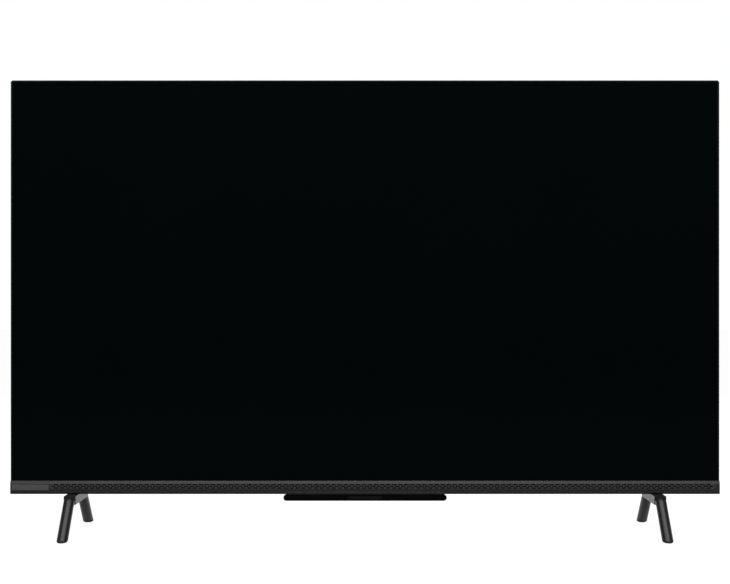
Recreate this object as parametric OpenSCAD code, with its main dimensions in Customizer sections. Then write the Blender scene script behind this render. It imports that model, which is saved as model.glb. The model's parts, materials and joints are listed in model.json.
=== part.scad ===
// Flat screen television, 55 inch class, standing on two bent-tube legs.
// X runs to the right as seen from the front, Y runs to the back and Z runs up.
// The origin is on the floor, below the middle of the stand.

/* [Screen] */
// Width of the picture
active_w = 1209.6; // [1150:0.1:1280]
// Height of the picture
active_h = 680.4; // [650:0.1:720]
// Border from the picture to the cabinet's side
side_border = 11.7; // [10:0.1:18]
// Border from the picture to the cabinet's top
top_border = 11.6; // [9:0.1:18]
// Border from the picture down to the chin
bottom_border = 4.6; // [3:0.1:10]
// Thickness of the glass cell
cell_t = 1.4; // [1:0.1:2.4]
// Reach of the glass cell down behind the chin
cell_tuck = 5; // [3:0.5:8]

/* [Bezel] */
// Width of the lip in front of the glass
lip_w = 3.5; // [2.5:0.1:6]
// Thickness of the lip in front of the glass
lip_t = 1.2; // [0.8:0.1:2]
// Thickness of the outer wall
bezel_wall = 1.2; // [0.8:0.1:1.6]
// Depth of the outer wall, front to back
bezel_depth = 14; // [12:0.5:18]
// Radius of the two upper corners
corner_r = 4; // [2.5:0.5:8]

/* [Chin] */
// Height of the chin
chin_h = 23; // [21:0.5:30]
// Reach of the chin in front of the bezel
chin_proud = 4; // [3:0.5:6]
// Wall of the chin
chin_wall = 2; // [1.6:0.1:2.4]
// Height of the slanting band along the chin's top
band_h = 5; // [4:0.1:7]
// How far that band leans back
band_lean = 1.6; // [1:0.1:2.2]
// Height of the lower edge, below the chin's flat
edge_h = 7; // [5:0.5:9]
// How far the lower edge leans back
edge_lean = 0.7; // [0.4:0.1:1]
// Height of the bead along the lower edge
bead_z = 4.2; // [2.9:0.1:4.6]
// Radius along the bottom of the chin
chin_r = 2.2; // [1.5:0.1:2.4]
// Height of the grille strip
grille_h = 8.6; // [8.2:0.1:10]
// Thickness of the grille strip's rim
grille_rim_t = 0.8; // [0.6:0.1:1.2]
// Reach of the grille strip's rim past its window
grille_rim_w = 1.4; // [1:0.1:2]
// Depth of the grille strip behind the chin's face
grille_recess = 0.5; // [0.3:0.1:0.9]
// Distance between grille slots in a row
slot_pitch = 10.5; // [9:0.5:14]
// Distance between rows of grille slots
slot_row = 2.7; // [2.4:0.05:3]
// Length of a grille slot
slot_w = 8; // [6:0.5:8.5]
// Height of a grille slot
slot_h = 2; // [1.2:0.1:2.2]
// Distance from the cabinet's side to the badge plate
badge_inset = 2.6; // [2:0.2:6]
// Width of the badge plate
badge_w = 64.5; // [50:0.5:80]
// Height of the badge plate
badge_h = 10; // [8:0.5:10]
// Thickness of the badge plate
badge_t = 0.9; // [0.7:0.1:1.2]
// Depth of the seat of the badge plate
badge_seat = 0.6; // [0.4:0.1:0.6]

/* [Sensor bar] */
// Width of the sensor bar
bar_w = 284.5; // [260:0.5:310]
// Height of the sensor bar
bar_h = 10.8; // [10.4:0.1:13]
// Depth of the sensor bar, front to back
bar_depth = 22; // [20:0.5:28]
// Wall of the sensor bar
bar_wall = 1.8; // [1.4:0.1:1.9]
// Distance from the front of the bezel back to the sensor bar
bar_setback = 1.5; // [0.5:0.5:4]
// Height of the neck between the chin and the sensor bar
neck_h = 1.4; // [1:0.1:3]
// Width of the dark window in the sensor bar
window_w = 60; // [40:1:80]
// Thickness of the lid at the back of the sensor bar
lid_t = 1.8; // [1.4:0.1:2.4]
// Diameter of the power button
button_d = 9; // [7:0.5:10]
// Travel of the power button
button_travel = 0.8; // [0.4:0.1:1]
// Reach of the button below the sensor bar
button_proud = 0.9; // [0.5:0.1:1.5]
// Distance from the middle to the microphone slider
slider_x = 45; // [30:1:60]
// Length of the microphone slider's knob
slider_l = 6; // [5:0.5:8]
// Width of the microphone slider's knob
slider_w = 3.4; // [2.6:0.1:5]
// Travel of the microphone slider
slider_travel = 3; // [2:0.5:4]

/* [Stand] */
// Height of the chin's underside above the floor
stand_h = 69; // [60:1:90]
// Distance from the stand's middle to the bezel
front_setback = 23; // [20:0.5:26]
// Distance from the cabinet's side to a leg
leg_inset = 109; // [100:0.5:140]
// Outer diameter of the leg tube
tube_d = 18.5; // [15.5:0.5:19]
// Wall of the leg tube
tube_wall = 2; // [1.5:0.1:2.4]
// Distance from the middle to the bend of the top bar
leg_top = 62; // [60:1:70]
// Distance from the middle to a foot
leg_foot = 123; // [100:1:140]
// Radius of the bends in the leg tube
bend_r = 14; // [12:0.5:16]
// Thickness of the foot pads
pad_t = 4; // [2:0.1:5]
// Thickness of the clamp block's cheeks
cheek_t = 1; // [0.8:0.1:2.5]
// Reach of the cheeks below the tube's middle
cheek_drop = 5; // [3:0.5:7]
// Diameter of the leg screws
leg_screw_d = 5; // [4:0.5:6]
// Distance between a leg's two screws
leg_screw_gap = 26; // [22:1:30]
// Thickness of the steel leg bracket
bracket_t = 3; // [2:0.5:4]
// Width of the steel leg bracket
bracket_w = 44; // [36:1:50]

/* [Back light] */
// Thickness of each optical film
film_t = 0.3; // [0.2:0.05:0.6]
// Thickness of the diffuser plate
diffuser_t = 2; // [1.2:0.1:2.6]
// Clear depth from the diffuser plate to the pan floor
light_gap = 22; // [18:0.5:28]
// Thickness of the steel back pan
pan_t = 0.8; // [0.6:0.1:1.2]
// How far the pan's sides slope in
pan_taper = 25; // [18:1:35]
// Rows of lamps
led_rows = 6; // [4:1:8]
// Lamps in a row
led_cols = 10; // [8:1:12]
// Width of a lamp strip
strip_w = 14; // [10:1:20]
// Thickness of a lamp strip
strip_t = 1; // [0.8:0.1:1.6]
// Thickness of the reflector sheet
sheet_t = 0.3; // [0.2:0.05:0.6]
// Diameter of a lamp lens
lens_d = 16; // [12:0.5:20]
// Height of a lamp lens
lens_h = 5; // [4:0.5:7]
// Diameter of a diffuser pin at its foot
pin_d = 12; // [9:0.5:16]

/* [Rear cover] */
// Wall of the rear cover
cover_wall = 2.2; // [1.8:0.1:2.8]
// Height of the cover's underside above the chin's
cover_lift = 3; // [2.6:0.1:4.5]
// Space between the back pan and the upper cover
cover_gap = 3; // [2:0.5:6]
// Step from the bezel in to the rear cover
cover_step = 0.8; // [0.4:0.1:1]
// Depth of the straight rim of the cover
rim_depth = 6; // [4:0.5:8]
// Slope of the upper cover
upper_taper = 24; // [18:1:28]
// Depth of the lower housing behind the upper cover
bulge_depth = 44; // [40:0.5:52]
// Height of the lower housing
bulge_h = 400; // [385:1:440]
// Distance from the cabinet's side to the lower housing
bulge_inset = 46; // [40:1:52]
// Slope of the lower housing's sides
bulge_side = 26; // [16:1:28]
// Slope of the lower housing's top
bulge_top = 42; // [30:1:50]
// Width of a vent slot
vent_w = 3.2; // [2:0.1:4]
// Distance between vent slots
vent_pitch = 9; // [7:0.5:14]
// Width of the row of vent slots
vent_span = 540; // [300:10:640]
// Diameter of the cover screws
screw_d = 4; // [3:0.5:5]
// Head diameter of the cover screws
screw_head_d = 8; // [7:0.5:9]
// Head height of the cover screws
screw_head_h = 2; // [1.5:0.1:2.6]

/* [Wall mount] */
// Distance between the wall mount holes, both ways
vesa_pitch = 200; // [200, 300]
// Diameter of the wall mount holes
vesa_hole_d = 6; // [5:0.5:8]
// Depth of the wall mount holes
vesa_hole_l = 30; // [20:1:36]
// Diameter of the wall mount posts
post_d = 16; // [14:0.5:20]
// Height of the pattern above the chin's underside
vesa_h = 235; // [225:1:240]
// Width of the wall mount rails
rail_w = 36; // [30:1:40]
// Thickness of the wall mount rails
rail_t = 1.5; // [1:0.1:2.5]

/* [Boards] */
// Thickness of the circuit boards
pcb_t = 1.6; // [1:0.1:2]
// Height of the board standoffs
standoff_h = 7.2; // [6:0.2:9]
// Diameter of the board standoffs
standoff_d = 6; // [5:0.5:8]
// Diameter of the board screws
board_screw_d = 3; // [2.5:0.5:4]
// Distance from a board's edge to its standoffs
board_edge = 6; // [5:0.5:8]
// Height of the boards above the chin's underside
board_h0 = 146; // [140:1:155]
// Width of the main board
main_w = 195; // [180:1:215]
// Width of the power board
power_w = 215; // [205:1:230]
// Height of the main and power boards
board_h = 176; // [170:1:190]
// Width of the timing board
tcon_w = 160; // [140:1:164]
// Height of the timing board
tcon_h = 46; // [40:1:50]
// Height of the timing board above the chin's underside
tcon_h0 = 81; // [78:1:84]
// Length of a source board
source_l = 420; // [410:1:440]
// Height of a source board
source_h = 12; // [10:0.5:15]
// Distance from the middle to the middle of a source board
source_x = 240; // [230:1:250]
// Panel flexes on a source board
flex_count = 6; // [4:2:8]
// Width of a panel flex
flex_w = 34; // [24:1:36]

/* [Terminals] */
// Width of the terminal bay
bay_w = 115; // [90:1:120]
// Thickness of the terminal plate
plate_t = 1.5; // [1:0.1:2.5]
// Width of the mains inlet bay
inlet_bay_w = 60; // [50:1:80]
// Height of the mains inlet bay
inlet_bay_h = 60; // [50:1:80]
// Length of the mains inlet's body
inlet_l = 24; // [20:1:28]
// Distance between the mains inlet's pins
inlet_pitch = 8.6; // [8:0.1:9.6]

/* [Speakers] */
// Distance from the middle to the middle of a speaker box
speaker_x = 310; // [300:1:320]
// Width of a speaker box
speaker_w = 220; // [180:1:230]
// Height of a speaker box
speaker_h = 44; // [40:0.5:46]
// Depth of a speaker box, front to back
speaker_depth = 40; // [38:0.5:42]
// Wall of a speaker box
speaker_wall = 2; // [1.5:0.1:3]
// Diameter of the driver's opening in the speaker box
driver_d = 32; // [30:0.5:33]
// Height of the rubber grommets
grommet_h = 3; // [2.6:0.1:5]
// Diameter of the rubber grommets
grommet_d = 12; // [10:0.5:14]

/* [Hidden] */
$fn = 48;
// Reach of a cut past the face that it opens
cut = 1;
// Clearance between stacked layers
seat_gap = 0.1;
// Clearance around the edges of stacked layers
edge_gap = 0.5;
// Clearance around a piece that fits into an opening
fit_gap = 0.2;
// Clearance of a screw in its hole
hole_gap = 0.2;
// Clearance around a piece that moves
move_gap = 0.3;
black = [0.03, 0.03, 0.035];
dark_grey = [0.13, 0.13, 0.14];
leg_grey = [0.24, 0.24, 0.25];
steel = [0.66, 0.67, 0.69];
white = [0.92, 0.92, 0.9];
board_green = [0.07, 0.28, 0.16];
board_blue = [0.06, 0.16, 0.34];
copper = [0.72, 0.45, 0.22];
lens_clear = [0.85, 0.9, 0.95];
grille_grey = [0.17, 0.17, 0.18];
badge_grey = [0.3, 0.3, 0.3];
window_dark = [0.06, 0.01, 0.015];
power_tan = [0.55, 0.45, 0.2];
coil_yellow = [0.75, 0.6, 0.15];
wire_dark = [0.12, 0.12, 0.13];
driver_grey = [0.35, 0.35, 0.37];
soft_black = [0.06, 0.06, 0.06];

// Cabinet, in X and Z
pic_hw = active_w / 2;
half_w = pic_hw + side_border;
base_z = stand_h;
chin_z = base_z + chin_h;
pic_z0 = chin_z + bottom_border;
pic_z1 = pic_z0 + active_h;
top_z = pic_z1 + top_border;
// Layers behind the front of the bezel, in Y
web_t = 1.8;
front_y = -front_setback;
cell_y = front_y + lip_t + seat_gap;
web_y = cell_y + cell_t + seat_gap;
film_y = web_y + web_t;
diffuser_y = film_y + 2 * film_t;
flange_y = diffuser_y + diffuser_t;
floor_y = flange_y + pan_t + light_gap;
pan_back = floor_y + pan_t;
strip_y = floor_y - strip_t;
sheet_y = strip_y - sheet_t;
rim_y = front_y + bezel_depth;
upper_back = pan_back + cover_gap + cover_wall;
cover_back = upper_back + bulge_depth;
cover_in = cover_back - cover_wall;
board_y = pan_back + standoff_h;
board_back = board_y + pcb_t;
// Mid frame and the stack of sheets that it holds
mid_hw = half_w - bezel_wall - edge_gap;
mid_z0 = base_z + cover_lift;
mid_z1 = top_z - bezel_wall - edge_gap;
mid_wall = 3;
mid_r = corner_r - bezel_wall - edge_gap;
opening_margin = 1.5;
stack_margin = 5;
stack_hw = pic_hw + stack_margin;
stack_z0 = pic_z0 - stack_margin;
stack_z1 = pic_z1 + stack_margin;
lug_w = 14;
lug_side_x = [source_x, source_x + source_l / 2 + lug_w, stack_hw - 2 * lug_w];
lug_x = concat([0], lug_side_x, -lug_side_x);
// Back pan
pan_lip = 7;
pan_hw = stack_hw - pan_lip;
floor_hw = pan_hw - pan_taper;
floor_z0 = stack_z0 + pan_lip + pan_taper;
floor_z1 = stack_z1 - pan_lip - pan_taper;
led_pitch_x = active_w / led_cols;
led_pitch_z = active_h / led_rows;
lens_hole_gap = 1.5;
pin_tip_d = 3;
pin_cols = [-3, 0, 3];
strip_end = 8;
// Chin
chin_face = front_y - chin_proud;
chin_in = chin_face + chin_wall;
flat_z1 = chin_z - band_h;
flat_z0 = base_z + edge_h;
badge_x0 = -half_w + badge_inset;
badge_gap = 1.2;
badge_drop = 1.3;
badge_z1 = flat_z1 - badge_drop;
grille_x0 = badge_x0 + badge_w + badge_gap;
grille_end = 8.5;
grille_x1 = half_w - grille_end;
grille_mid_x = (grille_x0 + grille_x1) / 2;
grille_drop = 0.1;
grille_mid_z = flat_z1 - grille_drop - grille_h / 2;
slot_end = 1.5;
slot_cols = 1 + floor((grille_x1 - grille_x0 - slot_w - 2 * slot_end) / slot_pitch);
rib_pitch = 120;
rib_t = 2;
// Sensor bar
bar_r = bar_h / 2;
bar_top = base_z - neck_h;
bar_z = bar_top - bar_r;
bar_low = bar_top - bar_h;
bar_y0 = front_y + bar_setback;
bar_y1 = bar_y0 + bar_depth;
bar_mid_y = (bar_y0 + bar_wall + bar_y1 - lid_t) / 2;
bar_roof = bar_top - bar_wall;
bar_floor = bar_low + bar_wall;
sensor_pcb_t = 1;
sensor_low = bar_roof - sensor_pcb_t;
sensor_hw = 80;
switch_w = 6;
switch_h = 3;
stem_r = 1.4;
stem_in = 0.6;
rest_gap = 0.1;
button_rim = 1.3;
button_rim_h = 0.9;
slider_rim_end = 2;
slider_rim_side = 1.5;
window_inset = 1;
window_h = bar_h - 2 * (bar_wall + window_inset);
window_rim = 1;
mic_r = 0.7;
mic_end = 24;
mic_step = 20;
mic_x = bar_w / 2 - mic_end;
lead_hole_r = 3;
lead_x = -40;
lead_depth = 9;
lead_y = front_y + lead_depth;
// Legs
leg_x = half_w - leg_inset;
tube_r = tube_d / 2;
chin_clear = 0.3;
bar_mid = base_z - chin_clear - tube_r;
lean = atan2(bar_mid, leg_foot - leg_top);
bend_run = bend_r * tan(lean / 2);
bend_over = 2;
bend_swell = 0.12;
leg_straight = leg_top - bend_run;
leg_screw_end = 9;
leg_mount_y = leg_straight - leg_screw_gap / 2 - leg_screw_end;
leg_screw_y = [leg_mount_y - leg_screw_gap / 2, leg_mount_y + leg_screw_gap / 2];
leg_head_r = 4;
leg_head_h = 3.5;
leg_screw_over = 2;
bracket_rise = 50;
tube_in_r = tube_r - tube_wall;
leg_head_z = bar_mid + sqrt(tube_in_r * tube_in_r - leg_head_r * leg_head_r) - seat_gap;
cover_low = base_z + cover_lift;
shelf_z = cover_low + cover_wall;
// Wall mount
vesa_z = base_z + vesa_h;
vesa_x = vesa_pitch / 2;
rail_over = 18;
rail_back = pan_back + rail_t;
// Boards and bays
board_gap = 2;
board_z0 = base_z + board_h0;
board_z1 = board_z0 + board_h;
main_x1 = -(vesa_x + rail_w / 2 + board_gap);
main_x0 = main_x1 - main_w;
power_x0 = vesa_x + rail_w / 2 + board_gap;
power_x1 = power_x0 + power_w;
tcon_z0 = base_z + tcon_h0;
bay_drop = 3;
bay_floor = board_y - bay_drop;
bay_margin = 8;
tray_wall = cover_wall - seat_gap;
plate_x1 = main_x0 - edge_gap;
plate_x0 = plate_x1 - plate_t;
bay_x1 = plate_x0 - cover_wall;
bay_x0 = bay_x1 - bay_w;
plate_rim = 4;
port_window_y = 16;
port_inset = 2;
port_z0 = board_z0 + port_inset;
port_z1 = board_z1 - port_inset;
inlet_bay_x0 = power_x1 + edge_gap + cover_wall;
inlet_w = 23;
inlet_h = 15;
inlet_z = board_z0 + inlet_bay_h / 2;
inlet_mid_y = board_back + inlet_h / 2;
inlet_back = 8;
recess_x0 = inlet_bay_x0 - inlet_l + inlet_back;
inlet_r = 4.6;
inlet_pin_r = 1.2;
// Sockets along the main board's edge, from the lowest up
port_margin = 14;
port_pitch = (board_h - 2 * port_margin) / 8;
function port_z(place) = board_z0 + port_margin + place * port_pitch;
aerial_place = 0;
optical_place = 1;
lan_place = 2;
jack_place = 3;
hdmi_places = [4, 5, 6];
usb_places = [7, 8];
hdmi_size = [15, 5.6, 12];
usb_size = [13.1, 5.7, 14];
lan_size = [16, 13.5, 16];
sound_size = [10, 10, 12];
aerial_size = [14, 13, 12];
socket_wall = 0.5;
aerial_barrel_r = 4.7;
aerial_barrel_l = 9;
jack_hole_r = 1.8;
jack_hole_l = 10;
// Contact tongues: width, then near and far side above the board
hdmi_tongue = [11.6, 2.4, 3.3];
usb_tongue = [11, 3, 4.8];
tongue_set = 2;
// Mouths of the network and optical sockets: width, near and far side, depth
lan_mouth = [11.8, 3.2, 11.2, 12];
lan_latch = [6, 1.4, 3.3, 12];
optical_mouth = [6.4, 1.8, 8.2, 8];
inlet_pin_set = 3;
// Panel flexes and ribbons
flex_t = 0.2;
flex_lap = 3;
source_gap = 2.4;
source_pcb_t = 1.2;
source_y = pan_back + source_gap;
source_z0 = floor_z0 + source_gap;
flex_end = 12;
flex_pitch = (source_l - 2 * flex_end) / flex_count;
flex_z = chin_z - cell_tuck - flex_t;
ribbon_w = 20;
ribbon_t = 0.2;
ribbon_lap = 6;
// Speakers
speaker_gap = 3.2;
speaker_y0 = pan_back + speaker_gap;
speaker_mid_y = speaker_y0 + speaker_depth / 2;
speaker_z0 = shelf_z + grommet_h;
driver_out = 40;
driver_x = speaker_x + driver_out;
basket_t = 0.8;
driver_rim = 3;
driver_rim_t = 1.5;
surround_w = 4.8;
cone_r = driver_d / 2 - surround_w;
surround_t = 0.5;
speaker_slots = 7;
speaker_slot_w = 3;
speaker_slot_pitch = 6;
speaker_slot_l = 32;
// Rear cover corners and vents
cover_foot_r = 4;
cover_low_r = 6;
upper_back_r = 16;
bulge_foot_r = 20;
bulge_back_r = 14;
vent_top = 0.2;
vent_low = 0.82;
// Cover screws
well_clear = 31;
well_x = leg_x - bracket_w / 2 - well_clear;
bay_clear = 20.8;
high_well_x = bay_clear - bay_x0;
screw_inset = 20;
side_screw_rise = 90;
low_well_rise = 90;
mid_well_rise = 250;
high_well_rise = 310;
cross_l = 0.55;
cross_w = 0.14;
screw_recess = 1.4;
boss_wall = 1.6;
well_floor = 4;
side_screw_x = floor_hw - screw_inset;
top_screw_z = floor_z1 - screw_inset;
side_screw_z = cover_low + bulge_h + side_screw_rise;
flat_screws = [
    [-side_screw_x, top_screw_z],
    [0, top_screw_z],
    [side_screw_x, top_screw_z],
    [-side_screw_x, side_screw_z],
    [side_screw_x, side_screw_z]
];
well_screws = [
    [-well_x, base_z + low_well_rise],
    [well_x, base_z + low_well_rise],
    [-high_well_x, base_z + high_well_rise],
    [high_well_x, base_z + high_well_rise],
    [0, base_z + mid_well_rise]
];

// A box between two corners.
module block(x0, x1, y0, y1, z0, z1) {
    translate([x0, y0, z0])
        cube([x1 - x0, y1 - y0, z1 - z0]);
}

// A round bar along Y.
module rod_y(x, z, y0, y1, r) {
    translate([x, y0, z])
        rotate([-90, 0, 0])
            cylinder(h = y1 - y0, r = r);
}

// A round bar along X.
module rod_x(y, z, x0, x1, r) {
    translate([x0, y, z])
        rotate([0, 90, 0])
            cylinder(h = x1 - x0, r = r);
}

// A round bar along Z.
module rod_z(x, y, z0, z1, r) {
    translate([x, y, z0])
        cylinder(h = z1 - z0, r = r);
}

// A flat shape drawn in X and Z, given its depth in Y.
module extrude_y(y0, y1) {
    translate([0, y1, 0])
        rotate([90, 0, 0])
            linear_extrude(y1 - y0)
                children();
}

// A flat shape drawn in Y and Z, given its length in X.
module extrude_x(x0, x1) {
    translate([x0, 0, 0])
        rotate([90, 0, 90])
            linear_extrude(x1 - x0)
                children();
}

// An upright rectangle with its two upper corners rounded.
module arch(hw, z0, z1, r) {
    translate([-hw, z0])
        square([2 * hw, z1 - z0 - r]);
    translate([r - hw, z0])
        square([2 * (hw - r), z1 - z0]);
    for (side = [-1, 1])
        translate([side * (hw - r), z1 - r])
            circle(r);
}

// A bar with round ends, drawn in X and Z around its own middle.
module pill(w, h) {
    square([w - h, h], center = true);
    for (side = [-1, 1])
        translate([side * (w - h) / 2, 0])
            circle(h / 2);
}

// Copies of a shape drawn for the right side, on both sides.
module both_sides() {
    children();
    mirror([1, 0, 0])
        children();
}

// A square wire that runs through the given corners, one axis at a time.
module lead(points, t) {
    for (i = [0 : len(points) - 2]) {
        a = points[i];
        b = points[i + 1];
        low = [for (k = [0 : 2]) min(a[k], b[k]) - t / 2];
        size = [for (k = [0 : 2]) abs(a[k] - b[k]) + t];
        translate(low)
            cube(size);
    }
}

// Points along an arc, in degrees.
function arc(cx, cy, r, from, to, steps) =
    [for (i = [0 : steps]) [
        cx + r * cos(from + (to - from) * i / steps),
        cy + r * sin(from + (to - from) * i / steps)
    ]];

module lcd_panel() {
    color(black)
        extrude_y(cell_y, cell_y + cell_t)
            arch(mid_hw, chin_z - cell_tuck, mid_z1, mid_r);
}

module bezel_frame() {
    color(black)
        difference() {
            extrude_y(front_y, rim_y)
                arch(half_w, chin_z, top_z, corner_r);
            extrude_y(front_y + lip_t, rim_y + cut)
                arch(half_w - bezel_wall, chin_z - cut, top_z - bezel_wall, corner_r - bezel_wall);
            block(-half_w + lip_w, half_w - lip_w, front_y - cut, rim_y, chin_z - cut, top_z - lip_w);
        }
}

// Middles of the panel flexes on the right side.
function flex_middles() = [for (i = [0 : flex_count - 1]) source_x + (i - (flex_count - 1) / 2) * flex_pitch];

module mid_frame() {
    color(dark_grey) {
        difference() {
            extrude_y(web_y, rim_y)
                arch(mid_hw, mid_z0, mid_z1, mid_r);
            block(
                -stack_hw - edge_gap, stack_hw + edge_gap, film_y, rim_y + cut,
                mid_z0 + mid_wall, stack_z1 + edge_gap
            );
            block(
                -pic_hw - opening_margin, pic_hw + opening_margin, web_y - cut, rim_y,
                pic_z0 - opening_margin, pic_z1 + opening_margin
            );
            both_sides()
                for (x = flex_middles())
                    block(
                        x - flex_w / 2 - edge_gap, x + flex_w / 2 + edge_gap, web_y - cut, film_y + cut,
                        flex_z - edge_gap, flex_z + flex_t + edge_gap
                    );
            rod_z(lead_x, lead_y, mid_z0 - cut, mid_z0 + mid_wall + cut, lead_hole_r);
        }
        for (x = lug_x)
            block(x - lug_w / 2, x + lug_w / 2, film_y, flange_y + pan_t, mid_z0, stack_z0);
    }
}

module optical_films() {
    color(white)
        for (layer = [0, 1])
            block(
                -stack_hw, stack_hw, film_y + layer * film_t, film_y + (layer + 1) * film_t,
                stack_z0, stack_z1
            );
}

module diffuser_plate() {
    color(white)
        block(-stack_hw, stack_hw, diffuser_y, flange_y, stack_z0, stack_z1);
}

// Corners of the pan's outline at one depth.
function dish_corners(y, inset) =
    let (
        draw_in = inset + pan_taper * (y - flange_y) / (pan_back - flange_y),
        hw = pan_hw - draw_in,
        low = stack_z0 + pan_lip + draw_in,
        top = stack_z1 - pan_lip - draw_in
    )
    [[-hw, y, low], [hw, y, low], [hw, y, top], [-hw, y, top]];

// A square dish that narrows from the front to its floor.
module dish(y0, y1, inset) {
    polyhedron(
        points = concat(dish_corners(y0, inset), dish_corners(y1, inset)),
        faces = [[0, 3, 2, 1], [4, 5, 6, 7], [0, 1, 5, 4], [1, 2, 6, 5], [2, 3, 7, 6], [3, 0, 4, 7]]
    );
}

module back_pan() {
    color(steel)
        difference() {
            union() {
                block(-stack_hw, stack_hw, flange_y, flange_y + pan_t, stack_z0, stack_z1);
                dish(flange_y, pan_back, 0);
            }
            dish(flange_y - cut, floor_y, pan_t);
            for (spot = concat(flat_screws, well_screws))
                rod_y(spot[0], spot[1], floor_y - cut, pan_back + cut, screw_d / 2 + seat_gap);
        }
}

// Runs its children once at the middle of every lamp.
module at_lamps() {
    for (row = [0 : led_rows - 1])
        for (col = [0 : led_cols - 1])
            translate([
                (col - (led_cols - 1) / 2) * led_pitch_x,
                0,
                pic_z0 + (row + 0.5) * led_pitch_z
            ])
                children();
}

module reflector_sheet() {
    color(white)
        difference() {
            dish(flange_y, strip_y, pan_t + seat_gap);
            dish(flange_y - cut, sheet_y, pan_t + seat_gap + sheet_t);
            at_lamps()
                rod_y(0, 0, sheet_y - cut, strip_y + cut, lens_d / 2 + lens_hole_gap);
        }
}

module led_strips() {
    strip_hw = floor_hw - pan_t - strip_end;
    color(white)
        for (row = [0 : led_rows - 1])
            block(
                -strip_hw, strip_hw, strip_y, floor_y,
                pic_z0 + (row + 0.5) * led_pitch_z - strip_w / 2,
                pic_z0 + (row + 0.5) * led_pitch_z + strip_w / 2
            );
}

module led_lenses() {
    dome_r = (lens_d * lens_d / 4 + lens_h * lens_h) / (2 * lens_h);
    color(lens_clear)
        at_lamps()
            intersection() {
                block(-lens_d, lens_d, strip_y - lens_h - cut, strip_y, -lens_d, lens_d);
                translate([0, strip_y - lens_h + dome_r, 0])
                    sphere(dome_r);
            }
}

module diffuser_pins() {
    pin_l = sheet_y - flange_y;
    color(white)
        for (x = pin_cols)
            for (row = [led_rows / 3, 2 * led_rows / 3])
                translate([x * led_pitch_x, sheet_y, pic_z0 + round(row) * led_pitch_z])
                    rotate([90, 0, 0])
                        cylinder(h = pin_l, r1 = pin_d / 2, r2 = pin_tip_d / 2);
}

// Front outline of the chin in Y and Z, from its top down.
function chin_front() = concat(
    [
        [front_y + lip_t, chin_z],
        [chin_face + band_lean, chin_z],
        [chin_face, flat_z1],
        [chin_face, flat_z0],
        [chin_face + edge_lean, base_z + bead_z],
        [chin_face + edge_lean / 2, base_z + bead_z - edge_lean / 2]
    ],
    arc(chin_face + edge_lean / 2 + chin_r, base_z + chin_r, chin_r, 180, 270, 8),
    [[rim_y, base_z]]
);

module chin_shell() {
    extrude_x(-half_w, half_w)
        polygon(concat(chin_front(), [
            [rim_y, base_z + chin_wall],
            [chin_in, base_z + chin_wall],
            [chin_in, chin_z - chin_wall],
            [front_y + lip_t, chin_z - chin_wall]
        ]));
    both_sides()
        extrude_x(half_w - bezel_wall, half_w)
            polygon(concat(chin_front(), [[rim_y, chin_z]]));
}

module chin_ribs() {
    for (x = [rib_pitch / 2 : rib_pitch : half_w - rib_pitch / 4])
        block(x, x + rib_t, web_y, rim_y - cut, base_z + chin_wall, mid_z0);
}

module chin_cover() {
    color(dark_grey)
        difference() {
            union() {
                chin_shell();
                both_sides()
                    chin_ribs();
                block(
                    -bar_w / 2 + bar_r, bar_w / 2 - bar_r, bar_y0, rim_y - cut,
                    bar_top, base_z + chin_wall
                );
            }
            extrude_y(chin_face - cut, chin_in + cut)
                grille_window(0);
            block(
                badge_x0 - seat_gap, badge_x0 + badge_w + seat_gap, chin_face - cut, chin_face + badge_seat,
                badge_z1 - badge_h - seat_gap, badge_z1 + seat_gap
            );
            rod_z(lead_x, lead_y, bar_top - cut, mid_z0 + cut, lead_hole_r);
        }
}

// Staggered rows of slots with pointed ends, drawn in X and Z.
module grille_slots() {
    tip = slot_h / 2;
    for (row = [-1, 0, 1])
        for (col = [0 : slot_cols - 1 - abs(row)])
            translate([
                grille_mid_x + (col - (slot_cols - 1 - abs(row)) / 2) * slot_pitch,
                grille_mid_z + row * slot_row
            ])
                polygon([
                    [-slot_w / 2, 0],
                    [-slot_w / 2 + tip, -slot_h / 2],
                    [slot_w / 2 - tip, -slot_h / 2],
                    [slot_w / 2, 0],
                    [slot_w / 2 - tip, slot_h / 2],
                    [-slot_w / 2 + tip, slot_h / 2]
                ]);
}

// The grille's window in the chin, grown on every side, drawn in X and Z.
module grille_window(grow) {
    translate([grille_x0 - grow, grille_mid_z - grille_h / 2 - grow])
        square([grille_x1 - grille_x0 + 2 * grow, grille_h + 2 * grow]);
}

module grille_strip() {
    color(grille_grey) {
        extrude_y(chin_face + grille_recess, chin_in)
            difference() {
                grille_window(-fit_gap);
                grille_slots();
            }
        extrude_y(chin_in, chin_in + grille_rim_t)
            difference() {
                grille_window(grille_rim_w);
                grille_slots();
            }
    }
}

module badge_plate() {
    color(badge_grey)
        block(
            badge_x0, badge_x0 + badge_w, chin_face + badge_seat - badge_t, chin_face + badge_seat,
            badge_z1 - badge_h, badge_z1
        );
}

// The sensor bar's outline, drawn in on every side, with its depth.
module bar_body(inset, y0, y1) {
    extrude_y(y0, y1)
        translate([0, bar_z])
            pill(bar_w - 2 * inset, bar_h - 2 * inset);
}

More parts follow.
